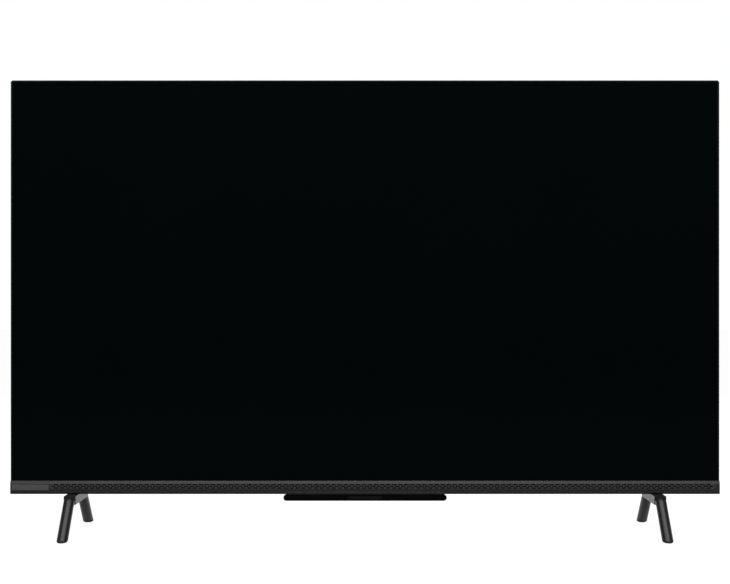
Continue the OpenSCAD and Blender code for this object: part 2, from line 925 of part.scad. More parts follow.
module sensor_bar() {
    color(black)
        difference() {
            bar_body(0, bar_y0, bar_y1);
            bar_body(bar_wall, bar_y0 + bar_wall, bar_y1 + cut);
            block(
                -window_w / 2, window_w / 2, bar_y0 - cut, bar_y0 + bar_wall + cut,
                bar_z - window_h / 2, bar_z + window_h / 2
            );
            rod_z(0, bar_mid_y, bar_low - cut, bar_floor + cut, button_d / 2 + move_gap);
            block(
                slider_x - slider_l / 2 - move_gap, slider_x + slider_l / 2 + slider_travel + move_gap,
                bar_mid_y - slider_w / 2 - move_gap, bar_mid_y + slider_w / 2 + move_gap,
                bar_low - cut, bar_floor + cut
            );
            for (side = [-1, 1])
                for (step = [0, 1])
                    rod_y(
                        side * (mic_x - step * mic_step), bar_z,
                        bar_y0 - cut, bar_y0 + bar_wall + cut, mic_r
                    );
            rod_z(lead_x, lead_y, bar_roof - cut, bar_top + cut, lead_hole_r);
        }
}

module sensor_bar_lid() {
    color(black)
        bar_body(bar_wall + seat_gap, bar_y1 - lid_t, bar_y1);
}

module sensor_window() {
    color(window_dark) {
        block(
            -window_w / 2 + seat_gap, window_w / 2 - seat_gap, bar_y0, bar_y0 + bar_wall,
            bar_z - window_h / 2 + seat_gap, bar_z + window_h / 2 - seat_gap
        );
        block(
            -window_w / 2 - window_rim, window_w / 2 + window_rim,
            bar_y0 + bar_wall, bar_y0 + bar_wall + window_rim,
            bar_z - window_h / 2 - window_rim / 2, bar_z + window_h / 2 + window_rim / 2
        );
    }
}

module sensor_board() {
    eye_x = 18;
    eye_w = 7;
    eye_depth = 4;
    slide_switch_hw = 3;
    eye_y0 = bar_y0 + bar_wall + window_rim + edge_gap;
    color(board_green)
        difference() {
            union() {
                block(-sensor_hw, sensor_hw, eye_y0, bar_y1 - lid_t - edge_gap, sensor_low, bar_roof);
                for (side = [-1, 1])
                    block(
                        side * eye_x - eye_w / 2, side * eye_x + eye_w / 2, eye_y0, eye_y0 + eye_depth,
                        sensor_low - switch_h, sensor_low
                    );
                block(
                    slider_x - slider_l, slider_x + slider_l + slider_travel,
                    bar_mid_y - slide_switch_hw, bar_mid_y + slide_switch_hw,
                    sensor_low - switch_h, sensor_low
                );
            }
            rod_z(lead_x, lead_y, sensor_low - cut, bar_roof + cut, lead_hole_r);
        }
}

module tact_switch() {
    color(black)
        difference() {
            block(
                -switch_w / 2, switch_w / 2, bar_mid_y - switch_w / 2, bar_mid_y + switch_w / 2,
                sensor_low - switch_h, sensor_low
            );
            rod_z(
                0, bar_mid_y, sensor_low - switch_h - cut,
                sensor_low - switch_h + stem_in + button_travel + move_gap, stem_r + move_gap
            );
        }
}

module power_button() {
    rim_z = bar_floor + rest_gap;
    color(dark_grey) {
        rod_z(0, bar_mid_y, bar_low - button_proud, rim_z, button_d / 2);
        rod_z(0, bar_mid_y, rim_z, rim_z + button_rim_h, button_d / 2 + button_rim);
        rod_z(0, bar_mid_y, rim_z + button_rim_h, sensor_low - switch_h + stem_in, stem_r);
    }
}

module mic_slider() {
    rim_z = bar_floor + rest_gap;
    rim_l = slider_l / 2 + slider_rim_end;
    rim_w = slider_w / 2 + slider_rim_side;
    color(dark_grey) {
        block(
            slider_x - slider_l / 2, slider_x + slider_l / 2,
            bar_mid_y - slider_w / 2, bar_mid_y + slider_w / 2,
            bar_low - button_proud, rim_z
        );
        block(
            slider_x - rim_l, slider_x + rim_l, bar_mid_y - rim_w, bar_mid_y + rim_w,
            rim_z, rim_z + button_rim_h
        );
    }
}

// Four round corners of an upright plate, with its depth.
module plate_corners(hw, z0, z1, low_r, top_r, y0, y1) {
    for (side = [-1, 1]) {
        rod_y(side * (hw - low_r), z0 + low_r, y0, y1, low_r, $fn = 24);
        rod_y(side * (hw - top_r), z1 - top_r, y0, y1, top_r, $fn = 32);
    }
}

// The thin upper body of the rear cover, drawn in on every side.
module cover_upper(inset, y0) {
    hw = half_w - cover_step - inset;
    top = top_z - cover_step - inset;
    low = cover_low + inset;
    hull() {
        plate_corners(hw, low, top, cover_foot_r, corner_r, y0, rim_y + rim_depth);
        plate_corners(
            hw - upper_taper, low, top - upper_taper, cover_low_r, upper_back_r,
            upper_back - inset - cut, upper_back - inset
        );
    }
}

// The lower housing of the rear cover, drawn in on every side.
module cover_bulge(inset) {
    hw = half_w - bulge_inset - inset;
    top = cover_low + bulge_h - inset;
    low = cover_low + inset;
    foot_y = upper_back - cover_gap - cover_wall - cut;
    hull() {
        plate_corners(hw, low, top, cover_foot_r, bulge_foot_r, foot_y, upper_back);
        plate_corners(
            hw - bulge_side, low, top - bulge_top, cover_low_r, bulge_back_r,
            cover_back - inset - cut, cover_back - inset
        );
    }
}

// The terminal bay, grown on every side but its mouth.
module terminal_bay(grow, mouth_y) {
    block(
        bay_x0 - grow, bay_x1 + grow, bay_floor - grow, mouth_y,
        board_z0 - bay_margin - grow, board_z1 + bay_margin + grow
    );
}

// The mains inlet's bay, closed on its inner side by the inlet's plate.
module inlet_bay(grow, x0, mouth_y) {
    block(
        x0, inlet_bay_x0 + inlet_bay_w + grow, bay_floor - grow, mouth_y,
        board_z0 - grow, board_z0 + inlet_bay_h + grow
    );
}

module cover_bosses() {
    boss_r = screw_d / 2 + hole_gap + boss_wall;
    well_r = screw_head_d / 2 + edge_gap + boss_wall;
    for (spot = flat_screws)
        rod_y(spot[0], spot[1], pan_back, upper_back - cover_wall / 2, boss_r + boss_wall);
    for (spot = well_screws)
        rod_y(spot[0], spot[1], pan_back, cover_in + cover_wall / 2, well_r);
}

module cover_screw_holes() {
    hole_r = screw_d / 2 + hole_gap;
    head_r = screw_head_d / 2 + edge_gap;
    for (spot = flat_screws) {
        rod_y(spot[0], spot[1], pan_back - cut, cover_back + cut, hole_r);
        rod_y(spot[0], spot[1], upper_back - screw_recess, cover_back + cut, head_r);
    }
    for (spot = well_screws) {
        rod_y(spot[0], spot[1], pan_back - cut, cover_back + cut, hole_r);
        rod_y(spot[0], spot[1], pan_back + well_floor, cover_back + cut, head_r);
    }
}

// Slots in the sloping top of the lower housing.
module cover_vents() {
    slope_z1 = cover_low + bulge_h;
    vents = floor(vent_span / vent_pitch);
    for (i = [0 : vents])
        translate([(i - vents / 2) * vent_pitch, 0, 0])
            block(
                -vent_w / 2, vent_w / 2, upper_back + cover_wall, cover_back,
                slope_z1 - bulge_top * vent_low, slope_z1 - bulge_top * vent_top
            );
}

// Slots in the underside, below each driver.
module speaker_vents() {
    both_sides()
        for (i = [0 : speaker_slots - 1])
            translate([driver_x + (i - (speaker_slots - 1) / 2) * speaker_slot_pitch, speaker_mid_y, 0])
                block(
                    -speaker_slot_w / 2, speaker_slot_w / 2, -speaker_slot_l / 2, speaker_slot_l / 2,
                    cover_low - cut, shelf_z + cut
                );
}

module leg_screw_holes(z0, z1, r) {
    for (y = leg_screw_y)
        both_sides()
            rod_z(leg_x, y, z0, z1, r);
}

module rear_cover() {
    color(dark_grey)
        difference() {
            union() {
                difference() {
                    union() {
                        cover_upper(0, rim_y);
                        cover_bulge(0);
                    }
                    cover_upper(cover_wall, rim_y - cut);
                    cover_bulge(cover_wall);
                }
                cover_bosses();
            }
            terminal_bay(cover_wall, cover_back + cut);
            inlet_bay(cover_wall, inlet_bay_x0, cover_back + cut);
            cover_screw_holes();
            cover_vents();
            speaker_vents();
            for (x = [-vesa_x, vesa_x])
                for (z = [vesa_z - vesa_x, vesa_z + vesa_x])
                    rod_y(x, z, upper_back - cover_wall - cut, cover_back + cut, post_d / 2 + fit_gap);
            leg_screw_holes(cover_low - cut, shelf_z + cut, leg_screw_d / 2 + hole_gap);
        }
}

// A socket body whose mouth is flush with the outer face of the terminal plate.
module socket_body(size, z, grow) {
    block(
        plate_x0 - grow, plate_x0 + size[2], board_back - min(grow, 0), board_back + size[1] + grow,
        z - size[0] / 2 - grow, z + size[0] / 2 + grow
    );
}

// A block inside a socket, set in from its mouth, given from the board up.
module socket_block(z, w, y0, y1, x0, x1) {
    block(plate_x0 + x0, plate_x0 + x1, board_back + y0, board_back + y1, z - w / 2, z + w / 2);
}

// Tray that lines the terminal bay, with a window for the sockets.
module terminal_tray() {
    difference() {
        terminal_bay(tray_wall, cover_back);
        terminal_bay(0, cover_back + cut);
        block(
            bay_x1 - cut, plate_x0 + cut, board_back - cut, board_back + port_window_y,
            port_z0, port_z1
        );
    }
}

module terminal_plate() {
    color(black) {
        terminal_tray();
        difference() {
            block(
                plate_x0, plate_x1, board_back - cut - plate_rim, board_back + port_window_y + plate_rim,
                port_z0 - plate_rim, port_z1 + plate_rim
            );
            for (place = hdmi_places)
                socket_body(hdmi_size, port_z(place), fit_gap);
            for (place = usb_places)
                socket_body(usb_size, port_z(place), fit_gap);
            socket_body(lan_size, port_z(lan_place), fit_gap);
            for (place = [optical_place, jack_place])
                socket_body(sound_size, port_z(place), fit_gap);
            rod_x(
                board_back + aerial_size[1] / 2, port_z(aerial_place), plate_x0 - cut, plate_x1 + cut,
                aerial_barrel_r + fit_gap
            );
        }
    }
}

// A metal shell that is open at its mouth, with a contact tongue inside.
module shell_socket(size, z, tongue) {
    difference() {
        socket_body(size, z, 0);
        socket_block(
            z, size[0] - 2 * socket_wall, socket_wall, size[1] - socket_wall,
            -cut, size[2] - tongue_set
        );
    }
    socket_block(z, tongue[0], tongue[1], tongue[2], tongue_set, size[2] - cut);
}

module hdmi_sockets() {
    color(steel)
        for (place = hdmi_places)
            shell_socket(hdmi_size, port_z(place), hdmi_tongue);
}

module usb_sockets() {
    color(steel)
        for (place = usb_places)
            shell_socket(usb_size, port_z(place), usb_tongue);
}

module lan_socket() {
    z = port_z(lan_place);
    color(steel)
        difference() {
            socket_body(lan_size, z, 0);
            for (mouth = [lan_mouth, lan_latch])
                socket_block(z, mouth[0], mouth[1], mouth[2], -cut, mouth[3]);
        }
}

module aerial_socket() {
    z = port_z(aerial_place);
    y = board_back + aerial_size[1] / 2;
    color(steel)
        difference() {
            union() {
                block(
                    plate_x1 + seat_gap, plate_x1 + aerial_size[2], board_back, board_back + aerial_size[1],
                    z - aerial_size[0] / 2, z + aerial_size[0] / 2
                );
                rod_x(y, z, plate_x0 - aerial_barrel_l, plate_x1 + cut, aerial_barrel_r);
            }
            rod_x(y, z, plate_x0 - aerial_barrel_l - cut, plate_x0, aerial_barrel_r / 2);
        }
}

module sound_sockets() {
    mid = sound_size[1] / 2;
    color(black) {
        difference() {
            socket_body(sound_size, port_z(optical_place), 0);
            socket_block(
                port_z(optical_place), optical_mouth[0], optical_mouth[1], optical_mouth[2],
                -cut, optical_mouth[3]
            );
        }
        difference() {
            socket_body(sound_size, port_z(jack_place), 0);
            rod_x(board_back + mid, port_z(jack_place), plate_x0 - cut, plate_x0 + jack_hole_l, jack_hole_r);
        }
    }
}

// The four screw places of a board, in X and Z.
function board_spots(x0, x1, z0, z1) = [
    for (x = [x0 + board_edge, x1 - board_edge])
        for (z = [z0 + board_edge, z1 - board_edge])
            [x, z]
];

// The main board's screws stay clear of the sockets along its edge.
socket_room = 20;
thread_l = 4.5;
thread_r = board_screw_d / 2 + seat_gap;
board_head_h = 1.8;
source_post = 8;
main_spots = board_spots(main_x0 + socket_room, main_x1, board_z0, board_z1);
power_spots = board_spots(power_x0, power_x1 - inlet_l, board_z0, board_z1);
tcon_spots = board_spots(-tcon_w / 2, tcon_w / 2, tcon_z0, tcon_z0 + tcon_h);
screw_spots = concat(main_spots, power_spots, tcon_spots);

module board_holes(spots) {
    for (spot = spots)
        rod_y(spot[0], spot[1], board_y - cut, board_back + cut, board_screw_d / 2 + hole_gap);
}

// A part on a board, placed by its middle.
module chip(x, z, size) {
    translate([x - size[0] / 2, board_back, z - size[1] / 2])
        cube([size[0], size[2], size[1]]);
}

soc_x = (main_x0 + main_x1) / 2 + 20;
soc_z = board_z0 + board_h * 0.55;
soc_size = [30, 30, 2.4];
sink_w = 44;
sink_h = 16;
sink_base = 3;
sink_fins = 9;
fin_t = 1.4;

module main_board() {
    memory_size = [14, 12, 1.2];
    memory_z = soc_z + 40;
    tuner_size = [40, 30, 9];
    tuner_x = main_x0 + 62;
    tuner_z = port_z(aerial_place) + 4;
    flash_size = [24, 24, 1.4];
    flash_x = soc_x + 15;
    flash_z = board_z0 + 20;
    choke_size = [10, 10, 6];
    choke_x = soc_x - 42;
    choke_z = soc_z - 25;
    part_step = 20;
    color(board_green)
        difference() {
            union() {
                block(main_x0, main_x1, board_y, board_back, board_z0, board_z1);
                chip(soc_x, soc_z, soc_size);
                for (i = [0 : 3])
                    chip(soc_x + (i - 1.5) * part_step, memory_z, memory_size);
                chip(tuner_x, tuner_z, tuner_size);
                chip(flash_x, flash_z, flash_size);
                for (i = [0 : 2])
                    chip(choke_x, choke_z + i * part_step, choke_size);
            }
            board_holes(main_spots);
        }
}

module soc_heatsink() {
    y0 = board_back + soc_size[2];
    color(steel) {
        block(
            soc_x - sink_w / 2, soc_x + sink_w / 2, y0, y0 + sink_base,
            soc_z - sink_w / 2, soc_z + sink_w / 2
        );
        for (i = [0 : sink_fins - 1])
            translate([soc_x + (i - (sink_fins - 1) / 2) * (sink_w - fin_t) / (sink_fins - 1), 0, 0])
                block(
                    -fin_t / 2, fin_t / 2, y0, y0 + sink_h, soc_z - sink_w / 2, soc_z + sink_w / 2
                );
    }
}

cap_r = 9;
cap_l = 32;
cap_step = 24;
cap_in = 30;
cap_down = 40;
cap_x = power_x0 + cap_in;
cap_z = board_z1 - cap_down;
// Transformers, from the power board's lower inner corner
coil_in = 60;
coil_up = 88;
coil_w = 40;
coil_h = 28;
far_coil_in = 140;
far_coil_up = 122;
far_coil_w = 34;
far_coil_h = 24;
coil_spots = [
    [power_x0 + coil_in, board_z0 + coil_up, coil_w, coil_h],
    [power_x0 + far_coil_in, board_z0 + far_coil_up, far_coil_w, far_coil_h]
];
// Heat sinks, from the same corner
sink_in = 60;
sink_up = 40;
far_sink_in = 128;
far_sink_up = 84;
sink_spots = [[power_x0 + sink_in, board_z0 + sink_up], [power_x0 + far_sink_in, board_z0 + far_sink_up]];

module power_board() {
    filter_size = [12, 10, 12];
    filter_in = 110;
    filter_up = 24;
    filter_x = power_x0 + filter_in;
    filter_z = board_z0 + filter_up;
    filter_step = 16;
    choke_size = [30, 24, 20];
    choke_up = 90;
    choke_z = board_z0 + choke_up;
    plug_size = [30, 14, 8];
    plug_inset = 30;
    plug_z = board_z1 - plug_inset;
    side_x = power_x1 - plug_inset;
    color(power_tan)
        difference() {
            union() {
                block(power_x0, power_x1, board_y, board_back, board_z0, board_z1);
                for (i = [0 : 2])
                    chip(filter_x, filter_z + i * filter_step, filter_size);
                chip(side_x, choke_z, choke_size);
                chip(side_x, plug_z, plug_size);
            }
            board_holes(power_spots);
        }
}

module bulk_capacitors() {
    color(black)
        for (i = [0 : 2])
            rod_y(cap_x + i * cap_step, cap_z, board_back, board_back + cap_l, cap_r);
}

module transformers() {
    color(coil_yellow)
        for (spot = coil_spots) {
            core_size = [spot[2], spot[2] * 0.7, spot[3]];
            winding_size = [spot[2] * 0.5, spot[2], spot[3] * 0.8];
            chip(spot[0], spot[1], core_size);
            chip(spot[0], spot[1], winding_size);
        }
}

module power_heatsinks() {
    plate_size = [64, 3, 28];
    fin_size = [2, 8, 28];
    fin_step = 20;
    color(steel)
        for (spot = sink_spots) {
            chip(spot[0], spot[1], plate_size);
            for (i = [-1 : 1])
                chip(spot[0] + i * fin_step, spot[1] + fin_size[1] / 2, fin_size);
        }
}

module mains_inlet() {
    color(black) {
        difference() {
            inlet_bay(tray_wall, inlet_bay_x0, cover_back);
            inlet_bay(0, inlet_bay_x0 - cut, cover_back + cut);
        }
        difference() {
            union() {
                block(
                    inlet_bay_x0 - inlet_l, inlet_bay_x0, board_back, board_back + inlet_h,
                    inlet_z - inlet_w / 2, inlet_z + inlet_w / 2
                );
                block(
                    inlet_bay_x0 - seat_gap - plate_t, inlet_bay_x0 - seat_gap,
                    bay_floor - cover_wall, cover_in - seat_gap,
                    board_z0 - cover_wall, board_z0 + inlet_bay_h + cover_wall
                );
            }
            for (side = [-1, 1])
                rod_x(
                    inlet_mid_y, inlet_z + side * inlet_pitch / 2, recess_x0,
                    inlet_bay_x0 + cut, inlet_r
                );
            block(
                recess_x0, inlet_bay_x0 + cut, inlet_mid_y - inlet_r, inlet_mid_y + inlet_r,
                inlet_z - inlet_pitch / 2, inlet_z + inlet_pitch / 2
            );
        }
    }
}

module inlet_pins() {
    color(steel)
        for (side = [-1, 1])
            rod_x(
                inlet_mid_y, inlet_z + side * inlet_pitch / 2, recess_x0,
                inlet_bay_x0 - inlet_pin_set, inlet_pin_r
            );
}

module tcon_board() {
    timing_size = [22, 22, 1.6];
    supply_size = [12, 12, 3];
    supply_x = 34;
    part_z = tcon_z0 + tcon_h * 0.55;
    color(board_blue)
        difference() {
            union() {
                block(-tcon_w / 2, tcon_w / 2, board_y, board_back, tcon_z0, tcon_z0 + tcon_h);
                chip(0, part_z, timing_size);
                for (side = [-1, 1])
                    chip(side * supply_x, part_z, supply_size);
            }
            board_holes(tcon_spots);
        }
}

// The source board on the right side, grown on every side.
module source_board(grow) {
    block(
        source_x - source_l / 2 - grow, source_x + source_l / 2 + grow,
        source_y - grow, source_y + source_pcb_t + grow, source_z0 - grow, source_z0 + source_h + grow
    );
}

module source_boards() {
    color(board_blue)
        both_sides()
            source_board(0);
}

module panel_flexes() {
    color(copper)
        both_sides()
            for (x = flex_middles()) {
                block(
                    x - flex_w / 2, x + flex_w / 2, cell_y, source_y,
                    flex_z, flex_z + flex_t
                );
                block(
                    x - flex_w / 2, x + flex_w / 2, source_y - flex_t, source_y,
                    flex_z, source_z0 + flex_lap
                );
            }
}

// A flat ribbon from the right source board, round the timing board's lower edge.
module source_ribbon() {
    x1 = tcon_w / 2 - ribbon_w;
    x0 = x1 - ribbon_w;
    turn_z = tcon_z0 - board_gap;
    ribbon_y = source_y + source_pcb_t;
    block(x0, x1, ribbon_y, ribbon_y + ribbon_t, source_z0 + source_h - ribbon_lap, turn_z);
    block(x0, x1, ribbon_y, board_back + ribbon_t, turn_z - ribbon_t, turn_z);
    block(x0, x1, board_back, board_back + ribbon_t, turn_z - ribbon_t, tcon_z0 + ribbon_lap);
}

module signal_ribbons() {
    across_z = tcon_z0 + (tcon_h - ribbon_w) / 2;
    down_x = main_x1 - 2 * ribbon_w;
    color(white) {
        both_sides()
            source_ribbon();
        block(
            down_x, down_x + ribbon_w, board_back, board_back + ribbon_t,
            across_z, board_z0 + ribbon_lap
        );
        block(
            down_x, -tcon_w / 2 + ribbon_lap, board_back, board_back + ribbon_t,
            across_z, across_z + ribbon_w
        );
    }
}

module radio_module() {
    radio_clear = 15;
    z0 = base_z + mid_well_rise + radio_clear;
    card = [40, 3, 30];
    can = [28, 2, 18];
    can_rise = 4;
    color(board_green) {
        translate([-card[0] / 2, pan_back, z0])
            cube(card);
        translate([-can[0] / 2, pan_back + card[1], z0 + can_rise])
            cube(can);
    }
}

module wire_harness() {
    wire = 2;
    flat_wire = 3;
    wire_y = board_back + wire / 2;
    box_top = speaker_z0 + speaker_h + wire / 2;
    wire_lap = 4;
    box_in = 15;
    left_x = -speaker_x + speaker_w / 2 - box_in;
    cross_z = source_z0 + source_h + wire_lap;
    cross_in = 50;
    cross_x = main_x1 - cross_in;
    power_y = board_back + flat_wire / 2;
    power_down = 30;
    power_z = board_z1 - power_down;
    power_lap = 10;
    sensor_y = board_back + 2 * wire;
    sensor_rise = 7;
    sensor_z = mid_z0 + mid_wall + sensor_rise;
    sensor_in = 5;
    sensor_x = main_x1 - sensor_in;
    plug_up = 14;
    plug_z = board_z0 + plug_up;
    color(wire_dark) {
        lead([[left_x, wire_y, board_z0 + wire_lap], [left_x, wire_y, box_top]], wire);
        lead([
            [cross_x, wire_y, board_z0 + wire_lap],
            [cross_x, wire_y, cross_z],
            [speaker_x, wire_y, cross_z],
            [speaker_x, wire_y, box_top]
        ], wire);
        lead([
            [main_x1 - power_lap, power_y, power_z],
            [power_x0 + power_lap, power_y, power_z]
        ], flat_wire);
        lead([
            [lead_x, lead_y, bar_roof + wire / 2 - sensor_pcb_t],
            [lead_x, lead_y, sensor_z],
            [lead_x, sensor_y, sensor_z],
            [sensor_x, sensor_y, sensor_z],
            [sensor_x, sensor_y, plug_z],
            [sensor_x, wire_y, plug_z]
        ], wire);
    }
}

module board_standoffs() {
    color(steel) {
        difference() {
            for (spot = screw_spots)
                rod_y(spot[0], spot[1], pan_back, board_y, standoff_d / 2);
            for (spot = screw_spots)
                rod_y(spot[0], spot[1], board_y - thread_l - edge_gap, board_y + cut, thread_r);
        }
        both_sides()
            for (end = [-1, 1])
                rod_y(
                    source_x + end * (source_l / 2 - source_post), source_z0 + source_h / 2,
                    pan_back, source_y, standoff_d / 2
                );
    }
}

module board_screws() {
    color(steel)
        for (spot = screw_spots) {
            rod_y(spot[0], spot[1], board_y - thread_l, board_back + cut, board_screw_d / 2);
            rod_y(spot[0], spot[1], board_back, board_back + board_head_h, board_screw_d);
        }
}

module wall_mount_rails() {
    color(steel)
        for (x = [-vesa_x, vesa_x])
            block(
                x - rail_w / 2, x + rail_w / 2, pan_back, rail_back,
                vesa_z - vesa_x - rail_over, vesa_z + vesa_x + rail_over
            );
}

module wall_mount_posts() {
    color(steel)
        for (x = [-vesa_x, vesa_x])
            for (z = [vesa_z - vesa_x, vesa_z + vesa_x])
                difference() {
                    rod_y(x, z, rail_back, cover_back, post_d / 2);
                    rod_y(x, z, cover_back - vesa_hole_l, cover_back + cut, vesa_hole_d / 2);
                }
}

module leg_brackets() {
    color(steel)
        difference() {
            both_sides() {
                block(
                    leg_x - bracket_w / 2, leg_x + bracket_w / 2, pan_back, pan_back + bracket_t,
                    shelf_z, floor_z0 + bracket_rise
                );
                block(
                    leg_x - bracket_w / 2, leg_x + bracket_w / 2, pan_back,
                    leg_mount_y + leg_screw_gap / 2 + leg_screw_d, shelf_z, shelf_z + bracket_t
                );
            }
            both_sides()
                source_board(source_gap + cut);
            leg_screw_holes(shelf_z - cut, shelf_z + bracket_t + cut, leg_screw_d / 2 + seat_gap);
        }
}

module speaker_box() {
    color(black)
        difference() {
            block(
                speaker_x - speaker_w / 2, speaker_x + speaker_w / 2, speaker_y0, speaker_y0 + speaker_depth,
                speaker_z0, speaker_z0 + speaker_h
            );
            block(
                speaker_x - speaker_w / 2 + speaker_wall, speaker_x + speaker_w / 2 - speaker_wall,
                speaker_y0 + speaker_wall, speaker_y0 + speaker_depth - speaker_wall,
                speaker_z0 + speaker_wall, speaker_z0 + speaker_h - speaker_wall
            );
            rod_z(
                driver_x, speaker_mid_y, speaker_z0 - cut, speaker_z0 + speaker_wall + cut,
                driver_d / 2 + basket_t + fit_gap
            );
        }
}

module left_speaker_box() {
    mirror([1, 0, 0])
        speaker_box();
}

module right_speaker_box() {
    speaker_box();
}

// Basket, magnet and pole of a driver that faces down, around its own axis.
module driver_motor() {
    basket_r = driver_d / 2;
    plate_z = 12;
    magnet_z = plate_z + 2;
    gap_top = plate_z + 10;
    motor_top = plate_z + 13;
    pole_r = 5.2;
    gap_r = 7;
    ring_r = 9;
    magnet_r = 14.5;
    rotate_extrude()
        polygon([
            [0, plate_z], [pole_r, plate_z], [pole_r, gap_top], [ring_r, gap_top],
            [ring_r, magnet_z], [gap_r, magnet_z], [gap_r, plate_z], [basket_r, plate_z],
            [basket_r, -driver_rim_t], [basket_r + driver_rim, -driver_rim_t], [basket_r + driver_rim, 0],
            [basket_r + basket_t, 0], [basket_r + basket_t, magnet_z], [magnet_r, magnet_z],
            [magnet_r, motor_top], [0, motor_top]
        ]);
}

module speaker_drivers() {
    color(driver_grey)
        both_sides()
            translate([driver_x, speaker_mid_y, speaker_z0])
                driver_motor();
}

// Paper cone, dust cap and voice coil former of a driver, around its own axis.
module driver_cone() {
    coil_r = 6.2;
    coil_in = 5.7;
    coil_top = 16;
    neck_z = 5.6;
    rim_z = 0.6;
    paper = 0.6;
    color(soft_black)
        translate([driver_x, speaker_mid_y, speaker_z0])
            rotate_extrude()
                polygon([
                    [0, neck_z], [coil_in, neck_z], [cone_r - paper, rim_z], [cone_r, rim_z],
                    [cone_r, rim_z + paper], [coil_r, neck_z + paper], [coil_r, coil_top],
                    [coil_in, coil_top], [coil_in, neck_z + paper], [0, neck_z + paper]
                ]);
}

module left_cone() {
    mirror([1, 0, 0])
        driver_cone();
}

module right_cone() {
    driver_cone();
}

// Rubber half roll between the cone and the basket, around its own axis.
module driver_surround() {
    in_r = cone_r + seat_gap;
    out_r = driver_d / 2 - seat_gap;
    mid_r = (in_r + out_r) / 2;
    roll_r = (out_r - in_r) / 2;
    roll_z = 0.7;
    color(soft_black)
        translate([driver_x, speaker_mid_y, speaker_z0])
            rotate_extrude()
                translate([0, roll_z])
                    polygon(concat(
                        arc(mid_r, 0, roll_r, 180, 360, 12),
                        arc(mid_r, 0, roll_r - surround_t, 360, 180, 12)
                    ));
}

module left_surround() {
    mirror([1, 0, 0])
        driver_surround();
}

module right_surround() {
    driver_surround();
}

module speaker_grommets() {
    inset = grommet_d / 2 + cut;
    color(soft_black)
        both_sides()
            for (x = [speaker_x - speaker_w / 2 + inset, speaker_x + speaker_w / 2 - inset])
                for (y = [speaker_y0 + inset, speaker_y0 + speaker_depth - inset])
                    difference() {
                        rod_z(x, y, shelf_z, speaker_z0, grommet_d / 2);
                        rod_z(x, y, shelf_z - cut, speaker_z0 + cut, grommet_d / 4);
                    }
}

// A screw along Y with its head outwards.
module cover_screw(x, z, seat_y) {
    rod_y(x, z, floor_y, seat_y + cut, screw_d / 2);
    difference() {
        rod_y(x, z, seat_y, seat_y + screw_head_h, screw_head_d / 2);
        for (turn = [0, 90])
            translate([x, seat_y + screw_head_h, z])
                rotate([0, turn, 0])
                    cube([screw_head_d * cross_l, screw_head_h, screw_head_d * cross_w], center = true);
    }
}

module cover_screws() {
    color(steel) {
        for (spot = flat_screws)
            cover_screw(spot[0], spot[1], upper_back - screw_recess);
        for (spot = well_screws)
            cover_screw(spot[0], spot[1], pan_back + well_floor);
    }
}

// Half of the bent tube in its own plane: the top bar from its middle, a bend and a strut to the floor.
module half_tube(r) {
    rotate([0, 90, 0])
        cylinder(h = leg_straight, r = r);
    translate([leg_straight, -bend_r, 0])
        rotate([0, 0, 90 - lean - bend_over])
            rotate_extrude(angle = lean + 2 * bend_over)
                translate([bend_r, 0])
                    circle(r + bend_swell);
    translate([leg_straight + bend_r * sin(lean), -bend_r + bend_r * cos(lean), 0])
        rotate([0, 0, -lean])
            rotate([0, 90, 0])
                cylinder(h = bar_mid / sin(lean) + tube_d, r = r);
}

// The whole bent tube, placed on the right side.
module bent_tube(r) {
    translate([leg_x, 0, bar_mid])
        rotate([90, 0, 90]) {
            half_tube(r);
            mirror([1, 0, 0])
                half_tube(r);
        }
}

module leg() {
    reach = leg_foot + 2 * tube_d;
    color(leg_grey)
        difference() {
            bent_tube(tube_r);
            bent_tube(tube_in_r);
            block(leg_x - tube_d, leg_x + tube_d, -reach, reach, -2 * tube_d, pad_t);
            for (y = leg_screw_y) {
                rod_z(leg_x, y, bar_mid, base_z + cut, leg_screw_d / 2 + hole_gap);
                rod_z(leg_x, y, bar_mid - tube_d, bar_mid, leg_head_r + edge_gap);
            }
        }
}

module left_leg() {
    mirror([1, 0, 0])
        leg();
}

module right_leg() {
    leg();
}

module foot_pads() {
    reach = leg_foot + 2 * tube_d;
    color(soft_black)
        both_sides()
            intersection() {
                bent_tube(tube_r);
                block(leg_x - tube_d, leg_x + tube_d, -reach, reach, 0, pad_t);
            }
}

// A flat-sided block that straddles the top bar and carries the cabinet.
module leg_clamps() {
    clamp_hw = tube_r + cheek_t;
    color(leg_grey)
        difference() {
            both_sides() {
                block(
                    leg_x - clamp_hw, leg_x + clamp_hw, -leg_straight, leg_straight,
                    bar_mid - cheek_drop, base_z - chin_clear
                );
                block(
                    leg_x - clamp_hw, leg_x + clamp_hw, leg_screw_y[0] - leg_head_r, leg_straight,
                    bar_mid, cover_low
                );
            }
            both_sides()
                bar_room();
            leg_screw_holes(bar_mid, cover_low + cut, leg_screw_d / 2 + hole_gap);
        }
}

// Room for the top bar inside the clamp block, open below.
module bar_room() {
    rod_y(leg_x, bar_mid, -leg_top, leg_top, tube_r + fit_gap);
    block(
        leg_x - tube_r - fit_gap, leg_x + tube_r + fit_gap, -leg_top, leg_top,
        bar_mid - cheek_drop - cut, bar_mid
    );
}

module leg_screws() {
    color(steel)
        both_sides()
            for (y = leg_screw_y) {
                rod_z(leg_x, y, leg_head_z - leg_head_h, leg_head_z, leg_head_r);
                rod_z(leg_x, y, leg_head_z, shelf_z + bracket_t + leg_screw_over, leg_screw_d / 2);
            }
}

